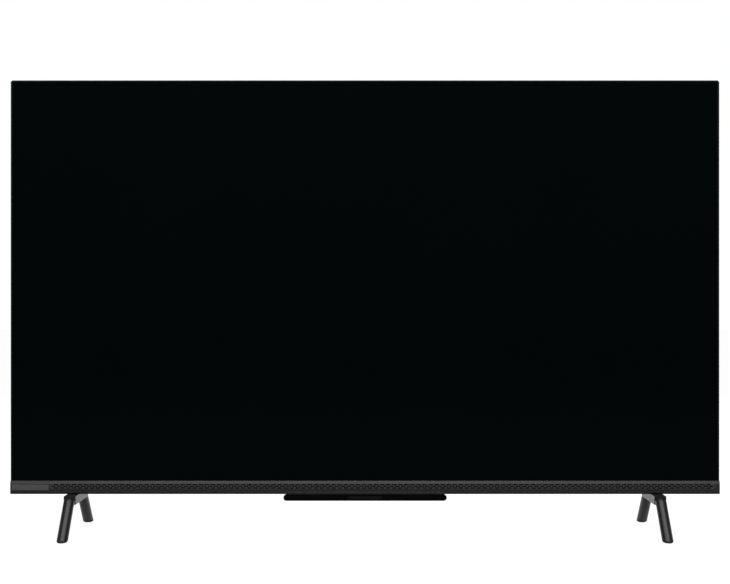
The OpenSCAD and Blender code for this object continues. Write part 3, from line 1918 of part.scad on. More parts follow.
lcd_panel();
bezel_frame();
mid_frame();
optical_films();
diffuser_plate();
diffuser_pins();
reflector_sheet();
led_strips();
led_lenses();
back_pan();
chin_cover();
grille_strip();
badge_plate();
sensor_bar();
sensor_bar_lid();
sensor_window();
sensor_board();
tact_switch();
power_button();
mic_slider();
rear_cover();
terminal_plate();
main_board();
soc_heatsink();
hdmi_sockets();
usb_sockets();
lan_socket();
aerial_socket();
sound_sockets();
power_board();
bulk_capacitors();
transformers();
power_heatsinks();
mains_inlet();
inlet_pins();
tcon_board();
source_boards();
panel_flexes();
signal_ribbons();
radio_module();
wire_harness();
board_standoffs();
board_screws();
wall_mount_rails();
wall_mount_posts();
leg_brackets();
left_speaker_box();
right_speaker_box();
speaker_drivers();
left_surround();
right_surround();
left_cone();
right_cone();
speaker_grommets();
cover_screws();
left_leg();
right_leg();
leg_clamps();
leg_screws();
foot_pads();
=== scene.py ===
"""Looks of the flat screen television: finishes, fine trim, floor, lamps and camera."""

import json
import math

import bmesh
import bpy
import numpy as np
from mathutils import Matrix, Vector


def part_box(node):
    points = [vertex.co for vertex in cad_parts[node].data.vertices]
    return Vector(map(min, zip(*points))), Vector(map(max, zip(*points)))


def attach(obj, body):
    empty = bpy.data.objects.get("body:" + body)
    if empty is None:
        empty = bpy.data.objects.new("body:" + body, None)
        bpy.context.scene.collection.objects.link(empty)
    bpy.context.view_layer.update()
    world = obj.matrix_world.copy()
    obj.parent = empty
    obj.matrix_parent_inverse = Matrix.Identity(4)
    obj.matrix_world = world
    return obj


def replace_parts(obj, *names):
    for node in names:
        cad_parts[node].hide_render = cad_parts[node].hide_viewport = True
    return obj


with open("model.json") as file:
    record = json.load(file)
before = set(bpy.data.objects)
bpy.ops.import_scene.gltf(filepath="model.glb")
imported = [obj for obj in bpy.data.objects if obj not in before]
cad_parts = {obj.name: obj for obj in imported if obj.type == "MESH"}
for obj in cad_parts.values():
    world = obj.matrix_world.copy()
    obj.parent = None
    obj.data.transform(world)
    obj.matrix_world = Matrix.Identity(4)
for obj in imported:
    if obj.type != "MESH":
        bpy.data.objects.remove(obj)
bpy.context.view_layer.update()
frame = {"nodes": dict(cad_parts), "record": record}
nodes = frame["nodes"]
MM = 0.001
CABINET = "cabinet"
SHARP_DEGREES = 35
finishes = {}


# Small tools for meshes


def grid_faces(rows, columns, closed):
    """Quads between neighbours of a grid of points. A closed grid joins its last column to its first."""
    last = columns if closed else columns - 1
    row, column = np.meshgrid(np.arange(rows - 1), np.arange(last), indexing="ij")
    next_row = row + 1
    next_column = (column + 1) % columns
    corners = [row * columns + column, row * columns + next_column]
    corners += [next_row * columns + next_column, next_row * columns + column]
    return np.stack(corners, axis=-1).reshape(-1, 4)


def capped_faces(rings, count, copies=1):
    """Faces of equal stacks of rings: quads round every stack, then each stack's first and last ring as
    its flat ends."""
    starts = np.arange(copies)[:, None, None] * rings * count
    first_ring = np.arange(count)
    ends = np.stack([first_ring, first_ring + (rings - 1) * count])
    quads = (starts + grid_faces(rings, count, closed=True)).reshape(-1, 4)
    caps = (starts + ends).reshape(-1, count)
    return quads.tolist() + caps.tolist()


def add_piece(name, mesh, slot, sharp_degrees):
    """An object for a finished mesh, smooth up to an angle, with the slot's material, that rides on the
    cabinet."""
    mesh.shade_smooth()
    mesh.set_sharp_from_angle(angle=math.radians(sharp_degrees))
    mesh.materials.clear()
    mesh.materials.append(finishes[slot])
    piece = bpy.data.objects.new(name, mesh)
    bpy.context.scene.collection.objects.link(piece)
    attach(piece, CABINET)
    return piece


def mesh_piece(name, points, faces, slot, sharp_degrees=SHARP_DEGREES):
    """A piece from an array of points and a list of faces, with its faces turned outwards."""
    mesh = bpy.data.meshes.new(name)
    mesh.from_pydata(points.reshape(-1, 3).tolist(), [], faces)
    work = bmesh.new()
    work.from_mesh(mesh)
    bmesh.ops.recalc_face_normals(work, faces=work.faces)
    work.to_mesh(mesh)
    work.free()
    return add_piece(name, mesh, slot, sharp_degrees)


def softened_copy(name, node, slot, width):
    """A copy of a node that stands for it: doubles merged, flat faces joined, sharp edges rounded by a
    bevel of the given width."""
    merge_distance = 0.001 * MM
    flat_degrees = 0.5
    bevel_steps = 3
    mesh = nodes[node].data.copy()
    work = bmesh.new()
    work.from_mesh(mesh)
    bmesh.ops.remove_doubles(work, verts=work.verts, dist=merge_distance)
    flat = math.radians(flat_degrees)
    bmesh.ops.dissolve_limit(work, angle_limit=flat, verts=work.verts, edges=work.edges)
    work.to_mesh(mesh)
    work.free()
    piece = add_piece(name, mesh, slot, SHARP_DEGREES)
    bevel = piece.modifiers.new("round_edges", "BEVEL")
    bevel.width = width
    bevel.segments = bevel_steps
    bevel.limit_method = "ANGLE"
    bevel.angle_limit = math.radians(SHARP_DEGREES)
    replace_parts(piece, node)


# Small tools for shader nodes

MIX_SHARE = 0
MIX_FIRST = 6
MIX_SECOND = 7
MIX_COLOUR = 2


def add_node(tree, kind, values=None, **settings):
    """A node with its plain settings and its unlinked socket values."""
    node = tree.nodes.new("ShaderNode" + kind)
    for key, value in settings.items():
        setattr(node, key, value)
    for key, value in (values or {}).items():
        node.inputs[key].default_value = value
    return node


def feed(tree, value, socket):
    """Links an output to a socket, or sets a plain number or colour on it."""
    if isinstance(value, bpy.types.NodeSocket):
        tree.links.new(value, socket)
    else:
        socket.default_value = value


def colour_mix(tree, share, first, second):
    """Blends two colours by a share from 0 to 1."""
    mix = add_node(tree, "Mix", data_type="RGBA")
    feed(tree, share, mix.inputs[MIX_SHARE])
    feed(tree, first, mix.inputs[MIX_FIRST])
    feed(tree, second, mix.inputs[MIX_SECOND])
    return mix.outputs[MIX_COLOUR]


def spread(tree, value, low, high, to_low=0.0, to_high=1.0):
    """Maps a value from the span of low to high onto another span, and holds it at that span's ends."""
    node = add_node(tree, "MapRange", {"From Min": low, "From Max": high})
    feed(tree, value, node.inputs["Value"])
    feed(tree, to_low, node.inputs["To Min"])
    feed(tree, to_high, node.inputs["To Max"])
    return node.outputs["Result"]


def maths(tree, operation, first, second=0.0):
    """One sum of two outputs or numbers."""
    node = add_node(tree, "Math", operation=operation)
    feed(tree, first, node.inputs[0])
    feed(tree, second, node.inputs[1])
    return node.outputs[0]


def noise(tree, coordinates, scale, detail):
    """Fractal noise on the given coordinates."""
    node = add_node(tree, "TexNoise", {"Detail": detail, "Roughness": 0.6})
    feed(tree, coordinates, node.inputs["Vector"])
    feed(tree, scale, node.inputs["Scale"])
    return node.outputs["Fac"]


def object_place(tree):
    """The object's own coordinates."""
    return add_node(tree, "TexCoord").outputs["Object"]


# Surface effects, each a group that many finishes share

GREY = (0.5, 0.5, 0.5, 1.0)
SURFACE_INPUTS = {"Dark": GREY, "Light": GREY, "Scale": 900.0, "Smooth": 0.4, "Rough": 0.6}
SURFACE_OUTPUTS = ("Colour", "Roughness", "Height")


def start_group(name):
    """An empty surface group with its named sockets, its input node and its output node."""
    tree = bpy.data.node_groups.new(name, "ShaderNodeTree")
    for label, value in SURFACE_INPUTS.items():
        kind = "NodeSocketColor" if isinstance(value, tuple) else "NodeSocketFloat"
        socket = tree.interface.new_socket(name=label, in_out="INPUT", socket_type=kind)
        socket.default_value = value
    for label in SURFACE_OUTPUTS:
        kind = "NodeSocketColor" if label == "Colour" else "NodeSocketFloat"
        tree.interface.new_socket(name=label, in_out="OUTPUT", socket_type=kind)
    return tree, tree.nodes.new("NodeGroupInput").outputs, tree.nodes.new("NodeGroupOutput").inputs


def close_group(tree, given, result, tone, rough, height):
    """Feeds a group's outputs: the colour goes from dark to light by the tone."""
    feed(tree, colour_mix(tree, tone, given["Dark"], given["Light"]), result["Colour"])
    feed(tree, rough, result["Roughness"])
    feed(tree, height, result["Height"])
    return tree


def make_grain_group():
    """Moulded grain: fine noise for pits and roughness, wide noise for slow changes of tone."""
    fine_share = 0.55
    wide_share = 0.45
    tree, given, result = start_group("moulded_grain")
    place = object_place(tree)
    fine = noise(tree, place, scale=given["Scale"], detail=3.0)
    wide = noise(tree, place, scale=5.0, detail=2.0)
    fine_part = maths(tree, "MULTIPLY", fine, fine_share)
    wide_part = maths(tree, "MULTIPLY", wide, wide_share)
    tone = spread(tree, maths(tree, "ADD", fine_part, wide_part), low=0.35, high=0.65)
    rough = spread(tree, fine, low=0.3, high=0.7, to_low=given["Smooth"], to_high=given["Rough"])
    return close_group(tree, given, result, tone, rough, height=fine)


def make_brushed_group():
    """Brushed lines along X: noise on coordinates that are squeezed along X."""
    tree, given, result = start_group("brushed_lines")
    squeeze = add_node(tree, "Mapping", {"Scale": (0.02, 1.0, 1.0)})
    feed(tree, object_place(tree), squeeze.inputs["Vector"])
    lines = noise(tree, squeeze.outputs["Vector"], scale=given["Scale"], detail=4.0)
    tone = spread(tree, lines, low=0.3, high=0.7)
    rough = spread(tree, lines, low=0.3, high=0.7, to_low=given["Smooth"], to_high=given["Rough"])
    return close_group(tree, given, result, tone, rough, height=lines)


def make_polish_group():
    """Polished surface: wide soft smudges change the tone and the roughness, and a faint ripple gives the
    height."""
    tree, given, result = start_group("polished_smudges")
    place = object_place(tree)
    smudge = noise(tree, place, scale=given["Scale"], detail=3.0)
    tone = spread(tree, smudge, low=0.4, high=0.75)
    rough = spread(tree, smudge, low=0.4, high=0.75, to_low=given["Smooth"], to_high=given["Rough"])
    ripple = noise(tree, place, scale=260.0, detail=1.0)
    return close_group(tree, given, result, tone, rough, height=ripple)


def make_board_group():
    """Printed board: tracks along the edges of many-sided cells, broken up by noise."""
    tree, given, result = start_group("printed_tracks")
    place = object_place(tree)
    cells = add_node(tree, "TexVoronoi", feature="DISTANCE_TO_EDGE", voronoi_dimensions="3D")
    feed(tree, place, cells.inputs["Vector"])
    feed(tree, given["Scale"], cells.inputs["Scale"])
    edge = spread(tree, cells.outputs["Distance"], low=0.04, high=0.1, to_low=1.0, to_high=0.0)
    broken = spread(tree, noise(tree, place, scale=60.0, detail=2.0), low=0.45, high=0.6)
    track = maths(tree, "MULTIPLY", edge, broken)
    rough = spread(tree, track, low=0.0, high=1.0, to_low=given["Rough"], to_high=given["Smooth"])
    return close_group(tree, given, result, track, rough, height=track)


GRAIN = make_grain_group()
BRUSHED = make_brushed_group()
POLISH = make_polish_group()
BOARD = make_board_group()


# Finishes, one for each material slot of the record


def linear(level):
    """A linear value for a display level from 0 to 255, by the standard display curve: a straight foot, then
    a power of 2.4."""
    share = level / 255
    return share / 12.92 if share <= 0.04045 else ((share + 0.055) / 1.055) ** 2.4


def tint(red, green, blue):
    """A linear colour for three display levels."""
    return (linear(red), linear(green), linear(blue), 1.0)


def add_finish(slot, group, dark, light, scale, smooth, rough, bump=0.1, depth=0.05, **shader):
    """The material of a slot: a surface group feeds colour, roughness and bump, and plain values set the
    rest. The bump's depth is in millimetres."""
    material = bpy.data.materials.new(slot)
    material.use_nodes = True
    tree = material.node_tree
    skin = tree.nodes["Principled BSDF"]
    for key, value in shader.items():
        skin.inputs[key.replace("_", " ")].default_value = value
    surface = add_node(tree, "Group", node_tree=group)
    values = {"Dark": dark, "Light": light, "Scale": scale, "Smooth": smooth, "Rough": rough}
    for key, value in values.items():
        surface.inputs[key].default_value = value
    relief = add_node(tree, "Bump", {"Strength": bump, "Distance": depth * MM})
    feed(tree, surface.outputs["Colour"], skin.inputs["Base Color"])
    feed(tree, surface.outputs["Roughness"], skin.inputs["Roughness"])
    feed(tree, surface.outputs["Height"], relief.inputs["Height"])
    feed(tree, relief.outputs["Normal"], skin.inputs["Normal"])
    finishes[slot] = material


def paint_shade_past(slot, shade, ramps):
    """Paints shade into a finish: turns it to a darker shade where every ramp is past its end. A ramp is an
    axis of the object with a start, where nothing is darker, and an end. Along X it counts from the middle
    to both sides."""
    tree = finishes[slot].node_tree
    skin = tree.nodes["Principled BSDF"]
    colour = skin.inputs["Base Color"].links[0].from_socket
    place = add_node(tree, "SeparateXYZ")
    feed(tree, object_place(tree), place.inputs["Vector"])
    share = 1.0
    for axis, start, end in ramps:
        along = place.outputs[axis]
        if axis == "X":
            along = maths(tree, "ABSOLUTE", along)
        share = maths(tree, "MULTIPLY", share, spread(tree, along, start, end))
    # painted shade: the colour blends to the shade colour inside the mask
    feed(tree, colour_mix(tree, share, colour, shade), skin.inputs["Base Color"])


def make_front_finishes():
    """The finishes that show from the front."""
    add_finish("screen_glass", GRAIN, tint(2, 7, 8), tint(3, 8, 9), scale=2200, smooth=0.1, rough=0.15,
               bump=0.05, depth=0.01, Specular_IOR_Level=0.04)
    add_finish("bezel_black", GRAIN, tint(1, 2, 4), tint(3, 4, 6), scale=1500, smooth=0.42, rough=0.52,
               bump=0.08, depth=0.02, Specular_IOR_Level=0.15)
    add_finish("chin_grey", BRUSHED, tint(32, 32, 32), tint(38, 38, 38), scale=1200, smooth=0.34, rough=0.46,
               bump=0.06, depth=0.02)
    add_finish("grille_grey", GRAIN, tint(56, 56, 56), tint(63, 63, 63), scale=1500, smooth=0.4, rough=0.5,
               bump=0.08, depth=0.02)
    add_finish("badge_metal", BRUSHED, tint(76, 76, 76), tint(88, 88, 88), scale=1800, smooth=0.36,
               rough=0.46, bump=0.08, depth=0.02, Metallic=0.15)
    add_finish("gloss_black", POLISH, tint(1, 1, 2), tint(3, 3, 4), scale=25, smooth=0.06, rough=0.14,
               bump=0.02, depth=0.02, Specular_IOR_Level=0.15)
    add_finish("sensor_window", POLISH, tint(10, 3, 4), tint(14, 5, 6), scale=40, smooth=0.04, rough=0.1,
               bump=0.02, depth=0.02, Specular_IOR_Level=0.4)
    add_finish("leg_metal", GRAIN, tint(24, 24, 25), tint(31, 31, 32), scale=1700, smooth=0.34, rough=0.42,
               bump=0.08, depth=0.02, Specular_IOR_Level=0.5)
    add_finish("rubber_black", GRAIN, tint(22, 22, 22), tint(32, 32, 32), scale=1400, smooth=0.65, rough=0.8,
               bump=0.2)


def make_back_finishes():
    """The finishes of the housing, its sockets and its controls."""
    add_finish("cover_black", GRAIN, tint(27, 27, 28), tint(35, 35, 36), scale=1100, smooth=0.5, rough=0.66,
               bump=0.25, depth=0.06, Specular_IOR_Level=0.4)
    add_finish("frame_grey", GRAIN, tint(14, 14, 14), tint(20, 20, 20), scale=900, smooth=0.5, rough=0.65)
    add_finish("button_grey", GRAIN, tint(46, 46, 47), tint(54, 54, 55), scale=1800, smooth=0.4, rough=0.55)
    add_finish("steel", BRUSHED, tint(150, 152, 155), tint(180, 182, 185), scale=700, smooth=0.28,
               rough=0.45, Metallic=1.0)
    add_finish("socket_steel", BRUSHED, tint(175, 177, 180), tint(200, 202, 205), scale=1600, smooth=0.2,
               rough=0.35, Metallic=1.0)
    add_finish("socket_black", GRAIN, tint(18, 18, 18), tint(28, 28, 28), scale=1500, smooth=0.4, rough=0.55)
    add_finish("pin_brass", BRUSHED, tint(190, 170, 120), tint(215, 200, 150), scale=1600, smooth=0.2,
               rough=0.35, Metallic=1.0)


def make_inner_finishes():
    """The finishes of what the housing hides: the light behind the glass, the boards and the speakers."""
    add_finish("film_white", GRAIN, tint(228, 229, 227), tint(236, 237, 235), scale=700, smooth=0.5,
               rough=0.65)
    add_finish("lens_clear", POLISH, tint(225, 232, 238), tint(235, 240, 245), scale=60, smooth=0.04,
               rough=0.1, IOR=1.49)
    add_finish("strip_white", BOARD, tint(222, 222, 218), tint(200, 190, 150), scale=90, smooth=0.4,
               rough=0.6)
    add_finish("board_green", BOARD, tint(18, 82, 48), tint(60, 130, 80), scale=110, smooth=0.35, rough=0.5)
    add_finish("board_blue", BOARD, tint(18, 50, 100), tint(60, 100, 150), scale=110, smooth=0.35, rough=0.5)
    add_finish("board_tan", BOARD, tint(150, 125, 75), tint(185, 165, 110), scale=90, smooth=0.4, rough=0.6)
    add_finish("heat_sink", BRUSHED, tint(165, 167, 170), tint(195, 197, 200), scale=900, smooth=0.3,
               rough=0.45, Metallic=1.0)
    add_finish("capacitor_sleeve", POLISH, tint(18, 18, 22), tint(30, 30, 36), scale=80, smooth=0.2,
               rough=0.35)
    add_finish("coil_tape", GRAIN, tint(190, 150, 50), tint(215, 180, 80), scale=300, smooth=0.4, rough=0.55)
    add_finish("flex_copper", BRUSHED, tint(160, 100, 45), tint(190, 130, 70), scale=400, smooth=0.3,
               rough=0.45)
    add_finish("ribbon_white", BRUSHED, tint(205, 205, 203), tint(228, 228, 226), scale=900, smooth=0.4,
               rough=0.5)
    add_finish("wire_black", GRAIN, tint(24, 24, 26), tint(36, 36, 38), scale=900, smooth=0.4, rough=0.55)
    add_finish("cone_paper", GRAIN, tint(26, 26, 26), tint(44, 44, 43), scale=1300, smooth=0.7, rough=0.85,
               bump=0.3, depth=0.1)


def paint_grille_slot_shade():
    """Painted shade in the slots: the grille turns near black just behind its face, so its slots read as
    open.
    """
    slot_edge = 0.1 * MM
    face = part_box("grille_strip")[0][1]
    # painted shade: near black inside the grille slots
    paint_shade_past("grille_grey", tint(1, 1, 1), [("Y", face, face + slot_edge)])


def paint_chin_lip_shade():
    """Painted shade under the chin: the chin turns darker along its lower lip, on both sides of the sensor
    bar.
    """
    lip_height = 0.9 * MM
    lip_blend = 0.3 * MM
    bar_blend = 2.0 * MM
    lip_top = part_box("mid_frame")[0][2] + lip_height
    bar_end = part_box("sensor_bar")[1][0]
    down = ("Z", lip_top, lip_top - lip_blend)
    beside = ("X", bar_end - bar_blend, bar_end)
    # painted shade: a darker band along the underside of the chin's lower lip
    paint_shade_past("chin_grey", tint(12, 12, 12), [down, beside])


make_front_finishes()
make_back_finishes()
make_inner_finishes()
# painted shade: near black in the grille slots, darker under the chin lip
paint_grille_slot_shade()
paint_chin_lip_shade()
for row in frame["record"]["subparts"]:
    node_mesh = nodes[row["node"]].data
    node_mesh.materials.clear()
    node_mesh.materials.append(finishes[row["material_slot"]])


# Pieces with finer form than their solids


def make_bezel():
    """The bezel with rounded lips: an L profile of outer wall and lip, carried up the left, over the top and
    down the right. At each station a point lies at the corner's centre plus (radius minus its inset) times
    the station's direction."""
    low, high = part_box("bezel_frame")
    radius = 4.0 * MM
    lip_width = 3.5 * MM
    thickness = 1.2 * MM
    outer_round = 0.7 * MM
    lip_round = 0.35 * MM
    outer_steps = 7
    lip_steps = 5
    corner_steps = 13
    outer_turn = np.linspace(math.pi, 1.5 * math.pi, outer_steps)
    lip_turn = np.linspace(1.5 * math.pi, 2.0 * math.pi, lip_steps)
    inner_face = low[1] + thickness
    inset = np.concatenate([
        [0.0], outer_round * (1 + np.cos(outer_turn)),
        lip_width - lip_round * (1 - np.cos(lip_turn)), [lip_width, thickness, thickness],
    ])
    depth = np.concatenate([
        [high[1]], low[1] + outer_round * (1 + np.sin(outer_turn)),
        low[1] + lip_round * (1 + np.sin(lip_turn)), [inner_face, inner_face, high[1]],
    ])
    left_turn = np.linspace(math.pi, math.pi / 2, corner_steps)
    right_turn = np.linspace(math.pi / 2, 0.0, corner_steps)
    turn = np.concatenate([[math.pi], left_turn, right_turn, [0.0]])
    on_left = np.arange(turn.size) < turn.size // 2
    centre_x = np.where(on_left, low[0] + radius, high[0] - radius)
    centre_z = np.full(turn.size, high[2] - radius)
    centre_z[[0, -1]] = low[2]
    reach = radius - inset
    across = centre_x[:, None] + reach * np.cos(turn)[:, None]
    up = centre_z[:, None] + reach * np.sin(turn)[:, None]
    along = np.broadcast_to(depth, across.shape)
    points = np.stack([across, along, up], axis=-1)
    piece = mesh_piece("bezel_shell", points, capped_faces(*across.shape), "bezel_black")
    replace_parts(piece, "bezel_frame")


def make_badge():
    """The bare badge plate with a quarter round edge: rings of a rounded rectangle that draw in by
    edge times (1 - cos a) as they come forward by edge times sin a, closed flat in front and behind."""
    low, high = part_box("badge_plate")
    corner = 0.6 * MM
    edge = 0.3 * MM
    edge_steps = 6
    corner_steps = 6
    lift = np.linspace(0.0, math.pi / 2, edge_steps)
    radius = corner - np.concatenate([[0.0], edge * (1 - np.cos(lift))])
    depth = np.concatenate([[high[1]], low[1] + edge * (1 - np.sin(lift))])
    quarter = np.linspace(0.0, math.pi / 2, corner_steps)
    turn = (np.arange(4)[:, None] * math.pi / 2 + quarter).ravel()
    which = np.arange(turn.size) // corner_steps
    on_right = (which == 0) | (which == 3)
    on_top = which < 2
    centre_x = np.where(on_right, high[0] - corner, low[0] + corner)
    centre_z = np.where(on_top, high[2] - corner, low[2] + corner)
    across = centre_x + radius[:, None] * np.cos(turn)
    up = centre_z + radius[:, None] * np.sin(turn)
    along = np.broadcast_to(depth[:, None], across.shape)
    points = np.stack([across, along, up], axis=-1)
    piece = mesh_piece("badge_plate_bare", points, capped_faces(*across.shape), "badge_metal")
    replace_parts(piece, "badge_plate")


def make_foot_pads():
    """Rubber ends of the legs with a rounded lower rim: level ellipses of the leaning tube, one over
    another. The ellipse's middle moves out by the height over the tangent of the lean as it comes down, and
    near the floor it draws in by edge times (1 - cos a) while it sinks by edge times sin a."""
    leg_x = 507.5 * MM
    foot_y = 123.0 * MM
    tube_radius = 9.25 * MM
    tube_drop = 59.45 * MM
    tube_run = 61.0 * MM
    edge_share = 0.85
    rim_steps = 9
    facets = 48
    lean = math.atan2(tube_drop, tube_run)
    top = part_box("foot_pads")[1][2]
    edge = edge_share * top
    sink = np.linspace(0.0, math.pi / 2, rim_steps)
    level = np.concatenate([[top], edge * (1 - np.sin(sink))])
    inset = np.concatenate([[0.0], edge * (1 - np.cos(sink))])
    turn = np.linspace(0.0, 2 * math.pi, facets, endpoint=False)
    middle = foot_y - level / math.tan(lean)
    across = leg_x + (tube_radius - inset)[:, None] * np.cos(turn)
    along = middle[:, None] + (tube_radius / math.sin(lean) - inset)[:, None] * np.sin(turn)
    up = np.broadcast_to(level[:, None], across.shape)
    one = np.stack([across, along, up], axis=-1)
    corners = np.array([[1, 1, 1], [-1, 1, 1], [1, -1, 1], [-1, -1, 1]])
    points = one * corners[:, None, None, :]
    faces = capped_faces(*across.shape, copies=len(corners))
    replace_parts(mesh_piece("foot_pad_caps", points, faces, "rubber_black"), "foot_pads")


def free_spans(height, low, high, squares, rounds):
    """Stretches of a level line from low to high that miss the square and round places at its height."""
    blocked = [(x0, x1) for x0, x1, z0, z1 in squares if z0 < height < z1]
    for x, z, radius in rounds:
        if abs(height - z) < radius:
            half = math.sqrt(radius * radius - (height - z) ** 2)
            blocked.append((x - half, x + half))
    spans = []
    start = low
    for x0, x1 in sorted(blocked):
        spans.append((start, x0))
        start = max(start, x1)
    spans.append((start, high))
    return spans


def ridge_rows():
    """Left end, right end and height of each ridge: level lines a pitch apart across the lower housing, left
    out round the bays, posts and screw wells, and where a stretch is too short."""
    half = 518.0 * MM
    lowest = 100.0 * MM
    highest = 416.0 * MM
    pitch = 7.0 * MM
    shortest = 24.0 * MM
    bay_margin = 7.0 * MM
    post_inset = 8.0 * MM
    post_round = 16.0 * MM
    well_round = 12.0 * MM
    low_well = (454.5 * MM, 159.0 * MM)
    high_well = (455.0 * MM, 379.0 * MM)
    middle_well = (0.0, 319.0 * MM)
    squares = []
    for node in ("terminal_plate", "mains_inlet"):
        near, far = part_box(node)
        sides = (near[0] - bay_margin, far[0] + bay_margin)
        squares.append(sides + (near[2] - bay_margin, far[2] + bay_margin))
    post_low, post_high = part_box("wall_mount_posts")
    post_x = (post_low[0] + post_inset, post_high[0] - post_inset)
    post_z = (post_low[2] + post_inset, post_high[2] - post_inset)
    rounds = [(x, z, post_round) for x in post_x for z in post_z]
    rounds += [(side * x, z, well_round) for x, z in (low_well, high_well) for side in (-1, 1)]
    rounds.append(middle_well + (well_round,))
    rows = []
    for level in np.arange(lowest, highest, pitch):
        spans = free_spans(level, -half, half, squares, rounds)
        rows += [(x0, x1, level) for x0, x1 in spans if x1 - x0 > shortest]
    return np.array(rows)


def make_ridges():
    """Fine moulded ridges across the lower housing: each is a half wave across its width, carried along X
    and thinned to nothing at both ends."""
    width = 2.6 * MM
    height = 0.55 * MM
    sunk = 0.1 * MM
    taper = 6.0 * MM
    wave_steps = 8
    sharp_degrees = 60
    end_swell = np.array([0.05, 0.6, 1.0])
    end_step = np.array([0.0, 0.4, 1.0]) * taper
    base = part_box("rear_cover")[1][1] - sunk
    rows = ridge_rows()
    swell = np.concatenate([end_swell, end_swell[::-1]])[:, None]
    across = np.concatenate([rows[:, :1] + end_step, rows[:, 1:2] - end_step[::-1]], axis=1)
    wave = np.linspace(0.0, math.pi, wave_steps)
    shape = (len(rows), swell.size, wave_steps)
    x = np.broadcast_to(across[:, :, None], shape)
    y = np.broadcast_to(base + height * swell * np.sin(wave), shape)
    z = np.broadcast_to(rows[:, 2, None, None] + width / 2 * swell * np.cos(wave), shape)
    points = np.stack([x, y, z], axis=-1)
    faces = capped_faces(swell.size, wave_steps, copies=len(rows))
    mesh_piece("cover_ridges", points, faces, "cover_black", sharp_degrees)


make_bezel()
make_badge()
make_foot_pads()
make_ridges()
softened_copy("clamp_blocks", "leg_clamps", "leg_metal", width=0.6 * MM)
softened_copy("sensor_bar_shell", "sensor_bar", "gloss_black", width=0.8 * MM)


# Floor, lamps and camera


def floor_finish():
    """White with a soft shadow for the camera, bright only behind the object for gloss, plain grey for the
    light that it throws back."""
    white_level = 0.92
    dark_until = -0.05
    bright_from = 0.25
    plain_grey = (0.35, 0.35, 0.35, 1.0)
    shadow_grey = (0.18, 0.18, 0.18, 1.0)
    material = bpy.data.materials.new("floor_white")
    material.use_nodes = True
    tree = material.node_tree
    tree.nodes.clear()
    path = add_node(tree, "LightPath").outputs
    place = add_node(tree, "SeparateXYZ")
    feed(tree, add_node(tree, "NewGeometry").outputs["Position"], place.inputs["Vector"])
    behind = spread(tree, place.outputs["Y"], dark_until, bright_from, to_high=white_level)
    behind = maths(tree, "MULTIPLY", behind, path["Is Glossy Ray"])
    seen = maths(tree, "MAXIMUM", path["Is Camera Ray"], path["Is Transmission Ray"])
    plain = add_node(tree, "BsdfDiffuse", {"Color": plain_grey})
    shaded = add_node(tree, "BsdfDiffuse", {"Color": shadow_grey})
    glow = add_node(tree, "Emission")
    white = add_node(tree, "AddShader")
    choice = add_node(tree, "MixShader")
    out = add_node(tree, "OutputMaterial")
    level = maths(tree, "MAXIMUM", maths(tree, "MULTIPLY", seen, white_level), behind)
    feed(tree, level, glow.inputs["Strength"])
    feed(tree, shaded.outputs[0], white.inputs[0])
    feed(tree, glow.outputs[0], white.inputs[1])
    feed(tree, maths(tree, "MAXIMUM", seen, path["Is Glossy Ray"]), choice.inputs[0])
    feed(tree, plain.outputs[0], choice.inputs[1])
    feed(tree, white.outputs[0], choice.inputs[2])
    feed(tree, choice.outputs[0], out.inputs["Surface"])
    return material


def make_floor():
    """A wide level square of a few quads, its faces up."""
    reach = 20.0
    lines = 3
    ends = np.linspace(-reach, reach, lines)
    across, along = np.meshgrid(ends, ends, indexing="ij")
    points = np.stack([across, along, np.zeros_like(across)], axis=-1).reshape(-1, 3)
    faces = grid_faces(lines, lines, closed=False)[:, ::-1]
    mesh = bpy.data.meshes.new("floor")
    mesh.from_pydata(points.tolist(), [], faces.tolist())
    mesh.materials.append(floor_finish())
    floor = bpy.data.objects.new("floor", mesh)
    bpy.context.scene.collection.objects.link(floor)


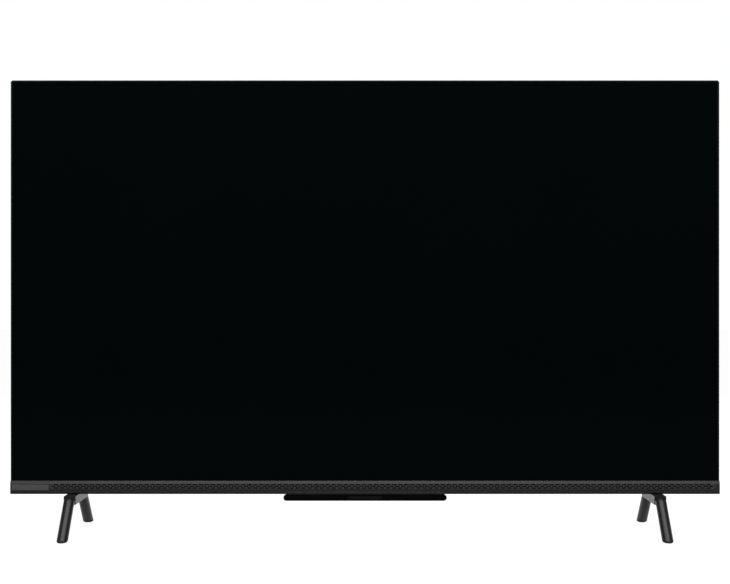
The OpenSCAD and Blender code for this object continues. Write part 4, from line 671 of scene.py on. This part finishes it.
def make_world():
    """White for the camera. Gloss sees white behind the object and little in front of it, and the rest gets
    a plain low light."""
    ambient = 0.3
    front_gloss = 0.06
    dark_until = 0.3
    white_from = 0.9
    world = bpy.data.worlds.new("studio")
    bpy.context.scene.world = world
    world.use_nodes = True
    tree = world.node_tree
    backdrop = tree.nodes["Background"]
    backdrop.inputs["Color"].default_value = (1.0, 1.0, 1.0, 1.0)
    direction = add_node(tree, "SeparateXYZ")
    feed(tree, add_node(tree, "TexCoord").outputs["Generated"], direction.inputs["Vector"])
    path = add_node(tree, "LightPath").outputs
    behind = spread(tree, direction.outputs["Y"], dark_until, white_from, to_low=front_gloss)
    gloss = maths(tree, "MULTIPLY", path["Is Glossy Ray"], behind)
    seen = maths(tree, "MAXIMUM", path["Is Camera Ray"], path["Is Transmission Ray"])
    plain = maths(tree, "MULTIPLY", maths(tree, "SUBTRACT", 1.0, path["Is Glossy Ray"]), ambient)
    level = maths(tree, "MAXIMUM", maths(tree, "MAXIMUM", seen, gloss), plain)
    feed(tree, level, backdrop.inputs["Strength"])


def add_lamp(name, place, target, width, height, power):
    """A soft box at a place, turned towards a target."""
    data = bpy.data.lights.new(name, "AREA")
    data.shape = "RECTANGLE"
    data.size = width
    data.size_y = height
    data.energy = power
    lamp = bpy.data.objects.new(name, data)
    lamp.location = place
    away = np.array(place) - np.array(target)
    pitch = math.atan2(math.hypot(away[0], away[1]), away[2])
    turn = math.atan2(away[0], -away[1])
    lamp.rotation_euler = (pitch, 0.0, turn)
    bpy.context.scene.collection.objects.link(lamp)


def make_lamps():
    """Soft boxes over, in front of, beside and behind the object. Sizes are in metres, powers in watts."""
    add_lamp("overhead_box", place=(0.0, -0.6, 2.6), target=(0.0, -0.1, 0.3),
             width=3.0, height=1.0, power=40.0)
    add_lamp("front_box", place=(0.0, -2.9, 1.75), target=(0.0, 0.0, 0.2),
             width=3.2, height=0.6, power=28.0)
    for name, side in (("left_box", -1), ("right_box", 1)):
        place = (2.4 * side, -2.2, 0.9)
        target = (0.5 * side, 0.0, 0.1)
        add_lamp(name, place, target, width=0.8, height=1.2, power=12.0)
    add_lamp("rear_box", place=(0.0, 2.8, 2.0), target=(0.0, 0.0, 0.4),
             width=2.6, height=1.4, power=40.0)


def add_camera():
    """A camera straight in front, level, a little below the middle of the screen."""
    distance = 2.673
    eye_height = 0.402
    data = bpy.data.cameras.new("camera")
    data.sensor_width = 36.0
    data.lens = 75.11
    data.shift_y = 0.01444
    camera = bpy.data.objects.new("camera", data)
    camera.location = (0.0, -distance, eye_height)
    camera.rotation_euler = (math.pi / 2, 0.0, 0.0)
    bpy.context.scene.collection.objects.link(camera)
    bpy.context.scene.camera = camera


make_floor()
make_world()
make_lamps()
add_camera()
bpy.context.scene.view_settings.view_transform = "Standard"
